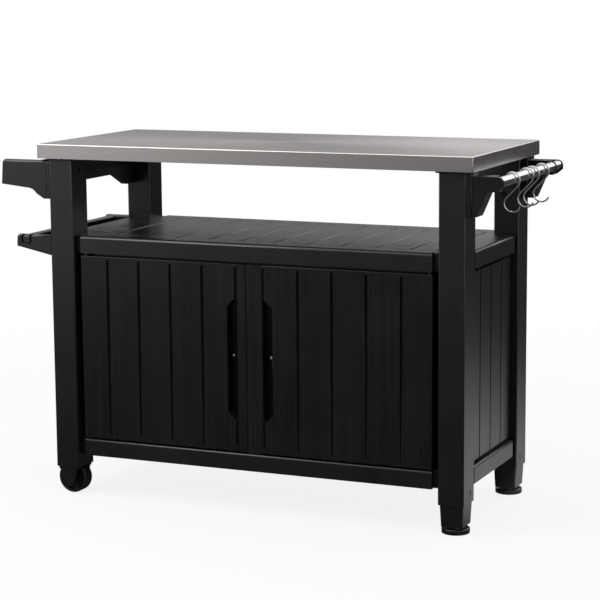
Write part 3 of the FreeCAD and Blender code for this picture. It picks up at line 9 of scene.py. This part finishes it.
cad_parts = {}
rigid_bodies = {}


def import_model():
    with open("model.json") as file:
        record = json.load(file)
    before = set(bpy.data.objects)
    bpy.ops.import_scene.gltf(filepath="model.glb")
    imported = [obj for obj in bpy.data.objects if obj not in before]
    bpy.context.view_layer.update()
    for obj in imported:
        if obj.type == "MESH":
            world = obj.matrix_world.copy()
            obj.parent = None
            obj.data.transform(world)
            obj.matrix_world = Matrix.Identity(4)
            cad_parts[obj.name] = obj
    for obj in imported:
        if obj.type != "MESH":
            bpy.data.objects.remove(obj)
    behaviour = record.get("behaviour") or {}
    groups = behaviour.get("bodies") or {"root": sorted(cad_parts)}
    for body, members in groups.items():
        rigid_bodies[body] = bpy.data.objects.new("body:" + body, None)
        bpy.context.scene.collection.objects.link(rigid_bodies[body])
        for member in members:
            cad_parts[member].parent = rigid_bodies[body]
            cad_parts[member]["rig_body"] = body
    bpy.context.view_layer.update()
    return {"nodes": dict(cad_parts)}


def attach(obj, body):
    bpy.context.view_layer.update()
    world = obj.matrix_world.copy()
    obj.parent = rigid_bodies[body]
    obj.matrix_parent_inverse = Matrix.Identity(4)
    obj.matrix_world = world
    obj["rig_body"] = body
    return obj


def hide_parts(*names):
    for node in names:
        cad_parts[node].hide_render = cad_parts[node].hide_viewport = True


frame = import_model()

bl_info = {
    "name": "Grill Cart",
    "version": (1, 0, 0),
    "blender": (4, 5, 0),
    "location": "View3D > Sidebar > Grill Cart",
    "description": "Dresses a patio grill cart with storage: steel top, resin cabinet, tray and towel bar",
    "category": "Object",
}

MM = 0.001

# Vertices closer than MERGE are one, and faces closer in angle than SAME_PLANE are one
MERGE = 0.001 * MM
SAME_PLANE = math.radians(0.4)

# Edges sharper than this are rounded, on resin and on the folded sheet, with this many steps
SHARP = math.radians(28)
SHEET_SHARP = math.radians(40)
EDGE_STEPS = 2

# Faces with more area than this for their outline are flat plates, and the others belong to rounded edges
PLATE = 3 * MM

# Depths behind a door's front between which painted shade darkens the resin of its finger pocket
POCKET_SHADE_START = 8.5 * MM
POCKET_SHADE_FULL = 12 * MM

FLOOR_RADIUS = 5.5
FLOOR_DROP = 0.5 * MM

# Half sizes of the painted shadow on the floor below the cart, as reflections see it, where it starts and
# where it is full
UNDER_EDGE = (0.62, 0.34)
UNDER_CORE = (0.48, 0.2)

# The photograph's camera, worked out from the cart's corners: place, angles in degrees and focal length
CAMERA_PLACE = (2.0656, -4.5701, 1.3053)
CAMERA_YAW = 23.807
CAMERA_PITCH = 9.154
CAMERA_ROLL = -0.45
FOCAL_LENGTH = 119.994
SENSOR_WIDTH = 36.0
VIEW_END = 60.0

# Each lamp's width, height, place and what it points at, under the name of its power
LAMPS = {
    "key": (1.3, 1.3, (-1.15, -1.25, 1.65), (-0.3, -0.2, 0.55)),
    "fill": (2.4, 2.4, (3.4, 1.8, 1.9), (0.2, 0, 0.5)),
    "overhead": (2.6, 2.6, (0, -0.2, 3.2), (0, 0, 0.6)),
    "rim": (4.6, 1.9, (0.9, 3.3, 3.0), (0, 0, 0.9)),
    "bar": (1.0, 0.9, (1.15, 3.2, 1.6), (0.6, 0, 0.85)),
    "corner": (1.2, 1.1, (3.3, -1.45, 0.6), (0.57, -0.24, 0.6)),
}

LEGS = ("front_left_leg", "rear_left_leg", "front_right_leg", "rear_right_leg")
TOP_FRAME = ("top_panel", "front_top_rail", "rear_top_rail", "left_top_rail", "right_top_rail", "top_ribs")
CABINET = (
    "left_apron", "right_apron", "shelf_deck", "front_rail", "rear_rail", "left_rail", "right_rail",
    "cabinet_floor", "left_panel", "right_panel", "back_panel", "door_catch",
)
DOORS = ("left_door_skin", "left_door_liner", "right_door_skin", "right_door_liner")
LEFT_END = ("bottle_tray", "bag_holder", "front_bag_clip", "rear_bag_clip")
HOOKS = ("s_hook_1", "s_hook_2", "s_hook_3", "s_hook_4")


class ResinLook(bpy.types.PropertyGroup):
    dark: FloatVectorProperty(
        name="Graphite", description="Colour of the moulded resin", subtype="COLOR",
        min=0, max=1, default=(0.0064, 0.0064, 0.0067),
    )
    chalk: FloatVectorProperty(
        name="Weathered", description="Colour that rubbed and dusty resin turns to", subtype="COLOR",
        min=0, max=1, default=(0.032, 0.032, 0.032),
    )
    foot: FloatVectorProperty(
        name="Foot caps", description="Colour of the foot caps and pads", subtype="COLOR",
        min=0, max=1, default=(0.0068, 0.0068, 0.0071),
    )
    door: FloatVectorProperty(
        name="Doors", description="Colour of the darker resin of the doors", subtype="COLOR",
        min=0, max=1, default=(0.0050, 0.0050, 0.0053),
    )
    gloss: FloatProperty(
        name="Roughness", description="Mean roughness of the resin", subtype="FACTOR",
        min=0, max=1, default=0.29,
    )
    grain: FloatProperty(
        name="Grain", description="Width of the mould's fine grain", subtype="DISTANCE", unit="LENGTH",
        default=0.9 * MM,
    )
    edge: FloatProperty(
        name="Edge radius", description="Rounding of the moulded edges", subtype="DISTANCE", unit="LENGTH",
        default=0.9 * MM,
    )
    soft_edge: FloatProperty(
        name="Soft edge radius", description="Rounding of the thick pieces such as arms, forks and caps",
        subtype="DISTANCE", unit="LENGTH", default=2.0 * MM,
    )


class MetalLook(bpy.types.PropertyGroup):
    sheet: FloatVectorProperty(
        name="Work top", description="Colour of the folded steel sheet", subtype="COLOR",
        min=0, max=1, default=(0.55, 0.520, 0.512),
    )
    polished: FloatVectorProperty(
        name="Bar and hooks", description="Colour of the polished steel", subtype="COLOR",
        min=0, max=1, default=(0.86, 0.86, 0.87),
    )
    zinc: FloatVectorProperty(
        name="Fixings", description="Colour of zinc-plated screws and pins", subtype="COLOR",
        min=0, max=1, default=(0.52, 0.53, 0.55),
    )
    brush: FloatProperty(
        name="Brush lines", description="Spacing of the brushed lines on the top", subtype="DISTANCE",
        unit="LENGTH", default=0.6 * MM,
    )
    fold: FloatProperty(
        name="Fold radius", description="Rounding of the sheet's cut edges", subtype="DISTANCE",
        unit="LENGTH", default=0.3 * MM,
    )


class StudioLook(bpy.types.PropertyGroup):
    floor: FloatVectorProperty(
        name="Floor", description="Colour of the pale studio floor", subtype="COLOR",
        min=0, max=1, default=(0.86, 0.86, 0.86),
    )
    key: FloatProperty(
        name="Key light", description="Power of the lamp close by at the front left", subtype="POWER",
        default=22,
    )
    fill: FloatProperty(
        name="Fill light", description="Power of the lamp at the right and behind", subtype="POWER",
        default=26,
    )
    overhead: FloatProperty(
        name="Overhead light", description="Power of the lamp above", subtype="POWER", default=38,
    )
    rim: FloatProperty(
        name="Rim light", description="Power of the wide lamp behind, seen in rounded edges", subtype="POWER",
        default=28,
    )
    bar: FloatProperty(
        name="Bar light", description="Power of the lamp behind the towel bar, seen in polished steel",
        subtype="POWER", default=3.2,
    )
    corner: FloatProperty(
        name="Corner light", description="Power of the lamp at the right, seen in upright corners",
        subtype="POWER", default=9,
    )
    sky: FloatProperty(
        name="Room light", description="Strength of the even light from all round", min=0, default=0.40,
    )
    horizon: FloatProperty(
        name="Horizon", description="How bright the far end of the room looks in a reflection",
        subtype="FACTOR", min=0, max=1, default=0.05,
    )
    near: FloatProperty(
        name="Near floor", description="How bright the floor at the right of the cart looks in a reflection",
        subtype="FACTOR", min=0, max=1, default=0.70,
    )
    dim: FloatProperty(
        name="Dim floor", description="How bright the floor before and behind the cart looks in a reflection",
        subtype="FACTOR", min=0, max=1, default=0.05,
    )
    left: FloatProperty(
        name="Front left", description="How bright the far front left of the room looks in a reflection",
        subtype="FACTOR", min=0, max=1, default=0.85,
    )
    front: FloatProperty(
        name="Front", description="How bright the rest of the far front looks in a reflection",
        subtype="FACTOR", min=0, max=1, default=0.20,
    )
    shade: FloatProperty(
        name="Shadow strength", description="How much of the floor's shadow the camera sees",
        subtype="FACTOR", min=0, max=1, default=0.14,
    )


class CartLook(bpy.types.PropertyGroup):
    resin: PointerProperty(type=ResinLook)
    metal: PointerProperty(type=MetalLook)
    studio: PointerProperty(type=StudioLook)


class Wire:
    """A shader socket that can be used in sums."""

    def __init__(self, finish, socket):
        self.finish = finish
        self.socket = socket

    def sum(self, operation, first, second):
        return self.finish.add("ShaderNodeMath", {"operation": operation}, {0: first, 1: second})

    def __add__(self, other):
        return self.sum("ADD", self, other)

    __radd__ = __add__

    def __sub__(self, other):
        return self.sum("SUBTRACT", self, other)

    def __rsub__(self, other):
        return self.sum("SUBTRACT", other, self)

    def __mul__(self, other):
        return self.sum("MULTIPLY", self, other)

    __rmul__ = __mul__

    def __truediv__(self, other):
        return self.sum("DIVIDE", self, other)

    def __rtruediv__(self, other):
        return self.sum("DIVIDE", other, self)

    def __abs__(self):
        return self.sum("ABSOLUTE", self, 0.0)


class Shading:
    """A node tree whose nodes are added one by one."""

    def __init__(self, tree):
        self.tree = tree

    def add(self, kind, settings=None, sockets=None, out=0):
        node = self.tree.nodes.new(kind)
        for key, value in (settings or {}).items():
            setattr(node, key, value)
        for key, value in (sockets or {}).items():
            self.join(node.inputs[key], value)
        return Wire(self, node.outputs[out])

    def join(self, socket, value):
        if isinstance(value, Wire):
            self.tree.links.new(value.socket, socket)
        else:
            socket.default_value = value

    def place(self, x=1.0, y=1.0, z=1.0):
        """Place on the piece in metres, stretched along the axes."""
        coordinate = self.add("ShaderNodeTexCoord", out=3)
        return self.add("ShaderNodeMapping", None, {0: coordinate, 3: (x, y, z)})

    def noise(self, where, size, detail=2.0, rough=0.5):
        """Cloudy value with features of about this size in metres."""
        return self.add(
            "ShaderNodeTexNoise", None,
            {"Vector": where, "Scale": 1 / size, "Detail": detail, "Roughness": rough},
        )

    def blend(self, amount, low, high):
        """Colour that goes from low to high with the amount."""
        return self.add(
            "ShaderNodeMix", {"data_type": "RGBA", "clamp_factor": True}, {0: amount, 6: low, 7: high}, out=2
        )

    def ramp(self, value, low, high, start=0.0, end=1.0):
        """Value from start to end as the input goes from low to high."""
        return self.add(
            "ShaderNodeMapRange", {"interpolation_type": "SMOOTHSTEP"},
            {0: value, 1: low, 2: high, 3: start, 4: end},
        )

    def ray(self, kind):
        """1 for light paths of that kind."""
        return self.add("ShaderNodeLightPath", out=kind)

    def mirrored(self):
        """1 where a reflection or a clear piece looks at this."""
        return self.ray("Is Glossy Ray") + self.ray("Is Transmission Ray")


class Finish(Shading):
    """A material built round its one shader."""

    def __init__(self, name, colour, **constants):
        self.material = bpy.data.materials.new(name)
        self.material.use_nodes = True
        self.material.diffuse_color = (*colour, 1)
        super().__init__(self.material.node_tree)
        self.shader = self.tree.nodes["Principled BSDF"]
        for socket, value in constants.items():
            self.shader.inputs[socket.replace("_", " ")].default_value = value
        self.shader.inputs["Base Color"].default_value = (*colour, 1)

    def feed(self, socket, value):
        """Lets a value that varies over the surface drive a socket of the shader."""
        self.join(self.shader.inputs[socket], value)

    def facing_up(self):
        """1 on level faces, 0 on upright ones and -1 on those that face down."""
        normal = self.add("ShaderNodeNewGeometry", out=1)
        return self.add("ShaderNodeSeparateXYZ", None, {0: normal}, out=2)

    def worn_edges(self, radius):
        """1 along outer edges and 0 on flat faces."""
        geometry = self.add("ShaderNodeNewGeometry", out=1)
        soft = self.add("ShaderNodeBevel", {"samples": 4}, {"Radius": radius})
        same = self.add("ShaderNodeVectorMath", {"operation": "DOT_PRODUCT"}, {0: geometry, 1: soft}, out=1)
        return self.ramp(same, 0.995, 0.86)

    def bump(self, height, depth, strength=1.0):
        self.feed(
            "Normal",
            self.add("ShaderNodeBump", None, {"Height": height, "Distance": depth, "Strength": strength}),
        )


def rgba(colour, gain=1.0):
    return (colour[0] * gain, colour[1] * gain, colour[2] * gain, 1)


def look():
    return bpy.context.scene.cart_look


def resin_finish(name, colour, dust=1.0, sheen=0.5, streaks=0.0, hollow=None, smooth=0.0):
    """Moulded resin: fine grain, faint clouds of sheen, chalky edges and a little dust on what faces up.

    Given the depth of a face, the resin behind it gets painted shade, standing for the dark of its pocket.
    """
    made = look().resin
    finish = Finish(name, colour, Specular_IOR_Level=sheen, IOR=1.5)
    place = finish.place()
    cloud = finish.noise(place, size=160 * MM, detail=4, rough=0.6)
    smear = finish.noise(finish.place(z=0.22), size=50 * MM, detail=3)
    grain = finish.noise(place, size=made.grain, detail=2, rough=0.55)
    pores = finish.noise(place, size=made.grain * 3.1, detail=1)
    edges = finish.worn_edges(made.edge * 1.6)
    up = finish.ramp(finish.facing_up(), 0.55, 0.95)
    patches = finish.ramp(finish.noise(place, size=30 * MM, detail=4, rough=0.65), 0.42, 0.72)
    settled = patches * up * (0.10 * dust)
    body = finish.blend(finish.ramp(cloud, 0.3, 0.7), rgba(colour, 0.82), rgba(colour, 1.22))
    body = finish.blend(finish.ramp(grain, 0.35, 0.75) * 0.10, body, rgba(made.chalk))
    body = finish.blend(edges * 0.22, body, rgba(made.chalk))
    body = finish.blend(settled, body, rgba(made.chalk, 1.9))
    rough = made.gloss - smooth + (cloud - 0.5) * 0.10 + (smear - 0.5) * 0.12 + settled * 1.2 - edges * 0.05
    if streaks:
        drawn = finish.noise(finish.place(z=0.02), size=7 * MM, detail=3, rough=0.6)
        body = finish.blend(finish.ramp(drawn, 0.4, 0.7) * streaks, body, rgba(made.chalk))
        rough = rough + (drawn - 0.5) * streaks
    if hollow is not None:
        # Painted shade: the resin deep in a door's finger pocket is darkened and made smoother
        depth = finish.add("ShaderNodeSeparateXYZ", None, {0: place}, out=1)
        pocket_shade = finish.ramp(depth, hollow + POCKET_SHADE_START, hollow + POCKET_SHADE_FULL)
        body = finish.blend(pocket_shade * 0.85, body, rgba(colour, 0.1))
        rough = rough - pocket_shade * 0.18
    finish.feed("Base Color", body)
    finish.feed("Roughness", rough)
    finish.bump(grain * 0.7 + pores * 0.3, depth=0.10 * MM, strength=0.55)
    return finish.material


def sheet_finish(name, colour):
    """Brushed steel sheet: long lines across the top, with faint wipe marks."""
    finish = Finish(name, colour, Metallic=1.0, Anisotropic=0.3)
    lines = finish.noise(finish.place(x=0.006), size=look().metal.brush, detail=3, rough=0.65)
    wipe = finish.noise(finish.place(x=0.6), size=350 * MM)
    tone = finish.blend(finish.ramp(lines, 0.2, 0.8), rgba(colour, 0.98), rgba(colour, 1.02))
    tone = finish.blend(finish.ramp(wipe, 0.35, 0.7) * 0.08, tone, rgba(colour, 0.8))
    finish.feed("Base Color", tone)
    finish.feed("Roughness", 0.27 + (lines - 0.5) * 0.03 + (wipe - 0.5) * 0.03)
    finish.bump(lines, depth=0.004 * MM, strength=0.12)
    return finish.material


def polished_finish(name, colour, rough, tone=1.0):
    """Polished steel bar or wire, with a fine drawn grain and a few handling marks."""
    finish = Finish(name, colour, Metallic=1.0)
    drawn = finish.noise(finish.place(y=0.03), size=0.5 * MM)
    touch = finish.noise(finish.place(), size=30 * MM, detail=4, rough=0.6)
    worn = finish.ramp(touch, 0.3, 0.75)
    finish.feed("Base Color", finish.blend(worn, rgba(colour, tone), rgba(colour, 0.86 * tone)))
    finish.feed("Roughness", rough + (touch - 0.5) * 0.10 + (drawn - 0.5) * 0.06)
    finish.bump(drawn, depth=0.01 * MM, strength=0.35)
    return finish.material


def zinc_finish(name, colour):
    """Zinc-plated steel with small bright spangles."""
    finish = Finish(name, colour, Metallic=1.0)
    spangle = finish.add(
        "ShaderNodeTexVoronoi", {"feature": "SMOOTH_F1"},
        {"Vector": finish.place(), "Scale": 900.0, "Smoothness": 0.6},
    )
    dull = finish.noise(finish.place(), size=2.5 * MM, detail=3)
    finish.feed("Base Color", finish.blend(spangle, rgba(colour, 0.8), rgba(colour, 1.15)))
    finish.feed("Roughness", 0.34 + (dull - 0.5) * 0.25)
    return finish.material


def brass_finish(name, colour):
    """Brass of the inserts in the foot caps, turned and a little uneven in tone."""
    finish = Finish(name, colour, Metallic=1.0)
    turned = finish.noise(finish.place(z=12.0), size=0.8 * MM)
    finish.feed("Base Color", finish.blend(turned, (0.5, 0.36, 0.15, 1), (0.7, 0.53, 0.25, 1)))
    finish.feed("Roughness", 0.3 + (turned - 0.5) * 0.2)
    return finish.material


def rubber_finish(name, colour):
    """Soft black rubber of the bar's ring."""
    finish = Finish(name, colour, Specular_IOR_Level=0.35)
    bloom = finish.noise(finish.place(), size=3 * MM, detail=3)
    finish.feed("Base Color", finish.blend(bloom, (0.009, 0.009, 0.009, 1), (0.026, 0.026, 0.027, 1)))
    finish.feed("Roughness", 0.62 + (bloom - 0.5) * 0.2)
    finish.bump(bloom, depth=0.05 * MM, strength=0.5)
    return finish.material


def tyre_finish(name, colour):
    """Hard plastic wheel, scuffed along its tread."""
    chalk = look().resin.chalk
    finish = Finish(name, colour, Specular_IOR_Level=0.4)
    scuff = finish.ramp(finish.noise(finish.place(), size=4 * MM, detail=4, rough=0.7), 0.5, 0.75)
    edges = finish.worn_edges(1.5 * MM)
    body = finish.blend(scuff * 0.22, rgba(colour, 0.8), rgba(chalk, 1.3))
    finish.feed("Base Color", finish.blend(edges * 0.3, body, rgba(chalk)))
    finish.feed("Roughness", 0.5 + scuff * 0.25)
    finish.bump(scuff, depth=0.12 * MM, strength=0.4)
    return finish.material


def once(make, name, colour, **settings):
    """The material of that name, made the first time it is asked for.

    The names differ from the material slots of the CAD pieces, which the file holds as well.
    """
    return bpy.data.materials.get(name) or make(name, colour, **settings)


def resin():
    return once(resin_finish, "graphite_resin", look().resin.dark)


def door_resin():
    skin = frame["nodes"]["left_door_skin"].data
    front = min(vertex.co.y for vertex in skin.vertices)
    # The doors' resin, with painted shade in the finger pockets behind the front face
    return once(
        resin_finish, "door_resin", look().resin.door, dust=0.6, sheen=0.32, streaks=0.10, hollow=front,
    )


def arm_resin():
    return once(resin_finish, "arm_resin", look().resin.door, dust=0.5, sheen=0.45, smooth=0.10)


def foot_resin():
    return once(resin_finish, "foot_cap_resin", look().resin.foot, dust=0.5, sheen=0.4)


def zinc():
    return once(zinc_finish, "zinc_plate", look().metal.zinc)


def dress(piece, material):
    piece.data.materials.clear()
    piece.data.materials.append(material)


def rounded(node, radius, material, sharp=SHARP):
    """A piece with the CAD node's shape and softly rounded edges, standing for that node."""
    source = frame["nodes"][node]
    mesh = bpy.data.meshes.new(node + "_moulded")
    form = bmesh.new()
    form.from_mesh(source.data)
    bmesh.ops.remove_doubles(form, verts=form.verts, dist=MERGE)
    bmesh.ops.dissolve_limit(
        form, angle_limit=SAME_PLANE, verts=form.verts, edges=form.edges, use_dissolve_boundaries=False,
    )
    edges = [e for e in form.edges if len(e.link_faces) == 2 and e.calc_face_angle(0.0) > sharp]
    if edges:
        bmesh.ops.bevel(
            form, geom=edges, offset=radius, offset_type="OFFSET", segments=EDGE_STEPS, profile=0.5,
            affect="EDGES", clamp_overlap=True, harden_normals=False,
        )
    for face in form.faces:
        face.smooth = face.calc_area() < PLATE * face.calc_perimeter()
    form.to_mesh(mesh)
    form.free()
    piece = bpy.data.objects.new(node + "_moulded", mesh)
    bpy.context.scene.collection.objects.link(piece)
    dress(piece, material)
    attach(piece, source["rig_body"])
    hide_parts(node)
    return piece


class CART_OT_work_top(bpy.types.Operator):
    """Folded steel sheet with the panel and frame beneath it"""

    bl_idname = "cart.work_top"
    bl_label = "Work top"

    def execute(self, context):
        metal = look().metal
        rounded("steel_top", metal.fold, sheet_finish("brushed_sheet", metal.sheet), SHEET_SHARP)
        for node in TOP_FRAME:
            rounded(node, look().resin.edge, resin())
        return {"FINISHED"}


class CART_OT_legs(bpy.types.Operator):
    """Four hollow legs with their head plates"""

    bl_idname = "cart.legs"
    bl_label = "Legs"

    def execute(self, context):
        for node in LEGS + ("leg_heads",):
            rounded(node, look().resin.edge, resin())
        return {"FINISHED"}


class CART_OT_cabinet(bpy.types.Operator):
    """Shelf deck, rails, aprons and panels"""

    bl_idname = "cart.cabinet"
    bl_label = "Cabinet"

    def execute(self, context):
        for node in CABINET:
            rounded(node, look().resin.edge, resin())
        return {"FINISHED"}


class CART_OT_doors(bpy.types.Operator):
    """Pair of doors with their liners, pins and handle screws"""

    bl_idname = "cart.doors"
    bl_label = "Doors"

    def execute(self, context):
        for node in DOORS:
            rounded(node, look().resin.edge, door_resin())
        for node in ("left_door_pins", "right_door_pins"):
            dress(frame["nodes"][node], resin())
        for node in ("left_door_screw", "right_door_screw"):
            dress(frame["nodes"][node], zinc())
        return {"FINISHED"}


class CART_OT_left_end(bpy.types.Operator):
    """Bottle tray, bag holder and its clips"""

    bl_idname = "cart.left_end"
    bl_label = "Tray and bag holder"

    def execute(self, context):
        for node in LEFT_END:
            rounded(node, look().resin.edge, resin())
        return {"FINISHED"}


class CART_OT_right_end(bpy.types.Operator):
    """Towel arms, polished bar with its ring, and hooks"""

    bl_idname = "cart.right_end"
    bl_label = "Towel bar and hooks"

    def execute(self, context):
        for node in ("front_towel_arm", "rear_towel_arm"):
            rounded(node, look().resin.soft_edge, arm_resin())
        steel = look().metal.polished
        dress(frame["nodes"]["towel_bar"], polished_finish("polished_bar", steel, rough=0.13))
        dress(frame["nodes"]["towel_bar_ring"], rubber_finish("ring_rubber", (0.012, 0.012, 0.012)))
        wire = polished_finish("hook_wire", steel, rough=0.30, tone=0.62)
        for node in HOOKS:
            dress(frame["nodes"][node], wire)
        return {"FINISHED"}


class CART_OT_running_gear(bpy.types.Operator):
    """Wheels with their forks, foot caps and levelling feet"""

    bl_idname = "cart.running_gear"
    bl_label = "Wheels and feet"

    def execute(self, context):
        tyre = tyre_finish("wheel_resin", look().resin.dark)
        for end in ("front", "rear"):
            rounded(end + "_wheel_fork", look().resin.soft_edge, resin())
            rounded(end + "_wheel", look().resin.edge, tyre)
            rounded(end + "_foot_cap", look().resin.soft_edge, foot_resin())
            rounded(end + "_foot_pad", look().resin.edge, foot_resin())
            dress(frame["nodes"][end + "_foot_stem"], zinc())
        dress(frame["nodes"]["wheel_axles"], zinc())
        dress(frame["nodes"]["foot_nuts"], brass_finish("insert_brass", (0.62, 0.46, 0.2)))
        return {"FINISHED"}


class CART_OT_fixings(bpy.types.Operator):
    """Screws that hold the frame, brackets and top"""

    bl_idname = "cart.fixings"
    bl_label = "Fixings"

    def execute(self, context):
        for node in ("bracket_screws", "top_screws"):
            dress(frame["nodes"][node], zinc())
        return {"FINISHED"}


def lamp(name, power, width, height, place, target):
    light = bpy.data.lights.new(name, "AREA")
    light.energy = power
    light.shape = "RECTANGLE"
    light.size = width
    light.size_y = height
    holder = bpy.data.objects.new(name, light)
    bpy.context.scene.collection.objects.link(holder)
    holder.location = place
    holder.rotation_euler = (Vector(target) - Vector(place)).to_track_quat("-Z", "Y").to_euler()


def grey(level):
    return (level, level, level, 1)


def front_light(shading, across, studio):
    """Brightness of the room's far front, brighter towards the left."""
    return shading.blend(shading.ramp(across, -0.42, -0.56), grey(studio.front), grey(studio.left))


def studio_floor(studio):
    """Pale disc that fades into the white room, and in reflections into the dim far end of it."""
    mesh = bpy.data.meshes.new("studio_floor")
    form = bmesh.new()
    bmesh.ops.create_circle(form, cap_ends=True, segments=96, radius=FLOOR_RADIUS)
    form.to_mesh(mesh)
    form.free()
    floor = bpy.data.objects.new("studio_floor", mesh)
    bpy.context.scene.collection.objects.link(floor)
    floor.location = (0, 0, -FLOOR_DROP)
    finish = Finish("studio_floor", studio.floor, Roughness=0.9, Specular_IOR_Level=0.1)
    place = finish.place()
    away = finish.add("ShaderNodeVectorMath", {"operation": "LENGTH"}, {0: place}, out=1)
    across = finish.add("ShaderNodeSeparateXYZ", None, {0: place}, out=0)
    along = finish.add("ShaderNodeSeparateXYZ", None, {0: place}, out=1)
    # What reflections see: bright at the right of the cart, and like the room at the far front
    right = finish.ramp(across - along * 0.45, 0.05, 0.4) * finish.ramp(along, -0.3, 0.1)
    glow = finish.blend(right * finish.ramp(away, 3.4, 0.5), grey(studio.dim), grey(studio.near))
    ahead = finish.ramp(along, -0.5, -2.0) * finish.ramp(away, 2.4, FLOOR_RADIUS)
    glow = finish.blend(ahead, glow, front_light(finish, across / away, studio))
    # Painted shadow: reflections see the floor below the cart as dim
    painted_shadow_below = finish.ramp(abs(across), UNDER_EDGE[0], UNDER_CORE[0])
    painted_shadow_below = painted_shadow_below * finish.ramp(abs(along), UNDER_EDGE[1], UNDER_CORE[1])
    glow = finish.blend(painted_shadow_below, glow, grey(studio.dim))
    # The camera sees white that keeps a little of the shadow near the cart
    glow = finish.blend(finish.ray("Is Camera Ray"), glow, grey(1.0))
    white = finish.add("ShaderNodeEmission", None, {"Color": glow})
    fade = finish.ramp(away, 1.0, 3.0, 1.0 - studio.shade, 1.0)
    seen = fade * finish.ray("Is Camera Ray") + finish.mirrored()
    mixed = finish.add("ShaderNodeMixShader", None, {0: seen})
    node = mixed.socket.node
    finish.tree.links.new(finish.shader.outputs[0], node.inputs[1])
    finish.tree.links.new(white.socket, node.inputs[2])
    output = finish.tree.nodes["Material Output"]
    finish.tree.links.new(node.outputs[0], output.inputs[0])
    floor.data.materials.append(finish.material)


def studio_room(studio):
    """White behind the object, brightest overhead in reflections, and even grey light on the rest."""
    world = bpy.data.worlds.new("studio_room")
    bpy.context.scene.world = world
    world.use_nodes = True
    world.node_tree.nodes.clear()
    room = Shading(world.node_tree)
    direction = room.add("ShaderNodeTexCoord", out="Generated")
    across = room.add("ShaderNodeSeparateXYZ", None, {0: direction}, out="X")
    along = room.add("ShaderNodeSeparateXYZ", None, {0: direction}, out="Y")
    height = room.add("ShaderNodeSeparateXYZ", None, {0: direction}, out="Z")
    low = room.blend(room.ramp(along, -0.3, -0.7), grey(studio.horizon), front_light(room, across, studio))
    shown = room.blend(room.ramp(height, 0.0, 0.5), low, grey(1.0))
    light = room.blend(room.mirrored(), grey(studio.sky), shown)
    light = room.blend(room.ray("Is Camera Ray"), light, grey(1.0))
    ground = room.add("ShaderNodeBackground", None, {"Color": light})
    output = world.node_tree.nodes.new("ShaderNodeOutputWorld")
    world.node_tree.links.new(ground.socket, output.inputs[0])


def studio_camera():
    """Camera where the photograph was taken from."""
    data = bpy.data.cameras.new("photo_camera")
    data.sensor_width = SENSOR_WIDTH
    data.lens = FOCAL_LENGTH
    data.clip_end = VIEW_END
    camera = bpy.data.objects.new("photo_camera", data)
    bpy.context.scene.collection.objects.link(camera)
    camera.matrix_world = (
        Matrix.Translation(CAMERA_PLACE)
        @ Matrix.Rotation(math.radians(CAMERA_YAW), 4, "Z")
        @ Matrix.Rotation(math.radians(90 - CAMERA_PITCH), 4, "X")
        @ Matrix.Rotation(math.radians(CAMERA_ROLL), 4, "Z")
    )
    bpy.context.scene.camera = camera


class CART_OT_studio(bpy.types.Operator):
    """Pale floor, soft lamps, white room and the photograph's camera"""

    bl_idname = "cart.studio"
    bl_label = "Studio"

    def execute(self, context):
        studio = look().studio
        studio_floor(studio)
        studio_room(studio)
        for name, hung in LAMPS.items():
            lamp(name + "_lamp", getattr(studio, name), *hung)
        studio_camera()
        context.scene.view_settings.view_transform = "Standard"
        return {"FINISHED"}


class CART_PT_pieces(bpy.types.Panel):
    """Buttons for the cart's groups of pieces and its colours"""

    bl_idname = "CART_PT_pieces"
    bl_label = "Grill Cart"
    bl_space_type = "VIEW_3D"
    bl_region_type = "UI"
    bl_category = "Grill Cart"

    def draw(self, context):
        for group in (look().resin, look().metal, look().studio):
            box = self.layout.box()
            for name in group.__annotations__:
                box.prop(group, name)
        for operator in OPERATORS:
            self.layout.operator(operator.bl_idname)


GROUPS = (ResinLook, MetalLook, StudioLook, CartLook)
OPERATORS = (
    CART_OT_work_top, CART_OT_legs, CART_OT_cabinet, CART_OT_doors, CART_OT_left_end,
    CART_OT_right_end, CART_OT_running_gear, CART_OT_fixings, CART_OT_studio,
)


def register():
    for cls in GROUPS + OPERATORS + (CART_PT_pieces,):
        bpy.utils.register_class(cls)
    bpy.types.Scene.cart_look = PointerProperty(type=CartLook)


def unregister():
    del bpy.types.Scene.cart_look
    for cls in reversed(GROUPS + OPERATORS + (CART_PT_pieces,)):
        bpy.utils.unregister_class(cls)


def main():
    register()
    bpy.ops.cart.work_top()
    bpy.ops.cart.legs()
    bpy.ops.cart.cabinet()
    bpy.ops.cart.doors()
    bpy.ops.cart.left_end()
    bpy.ops.cart.right_end()
    bpy.ops.cart.running_gear()
    bpy.ops.cart.fixings()
    bpy.ops.cart.studio()


if __name__ == "__main__":
    main()
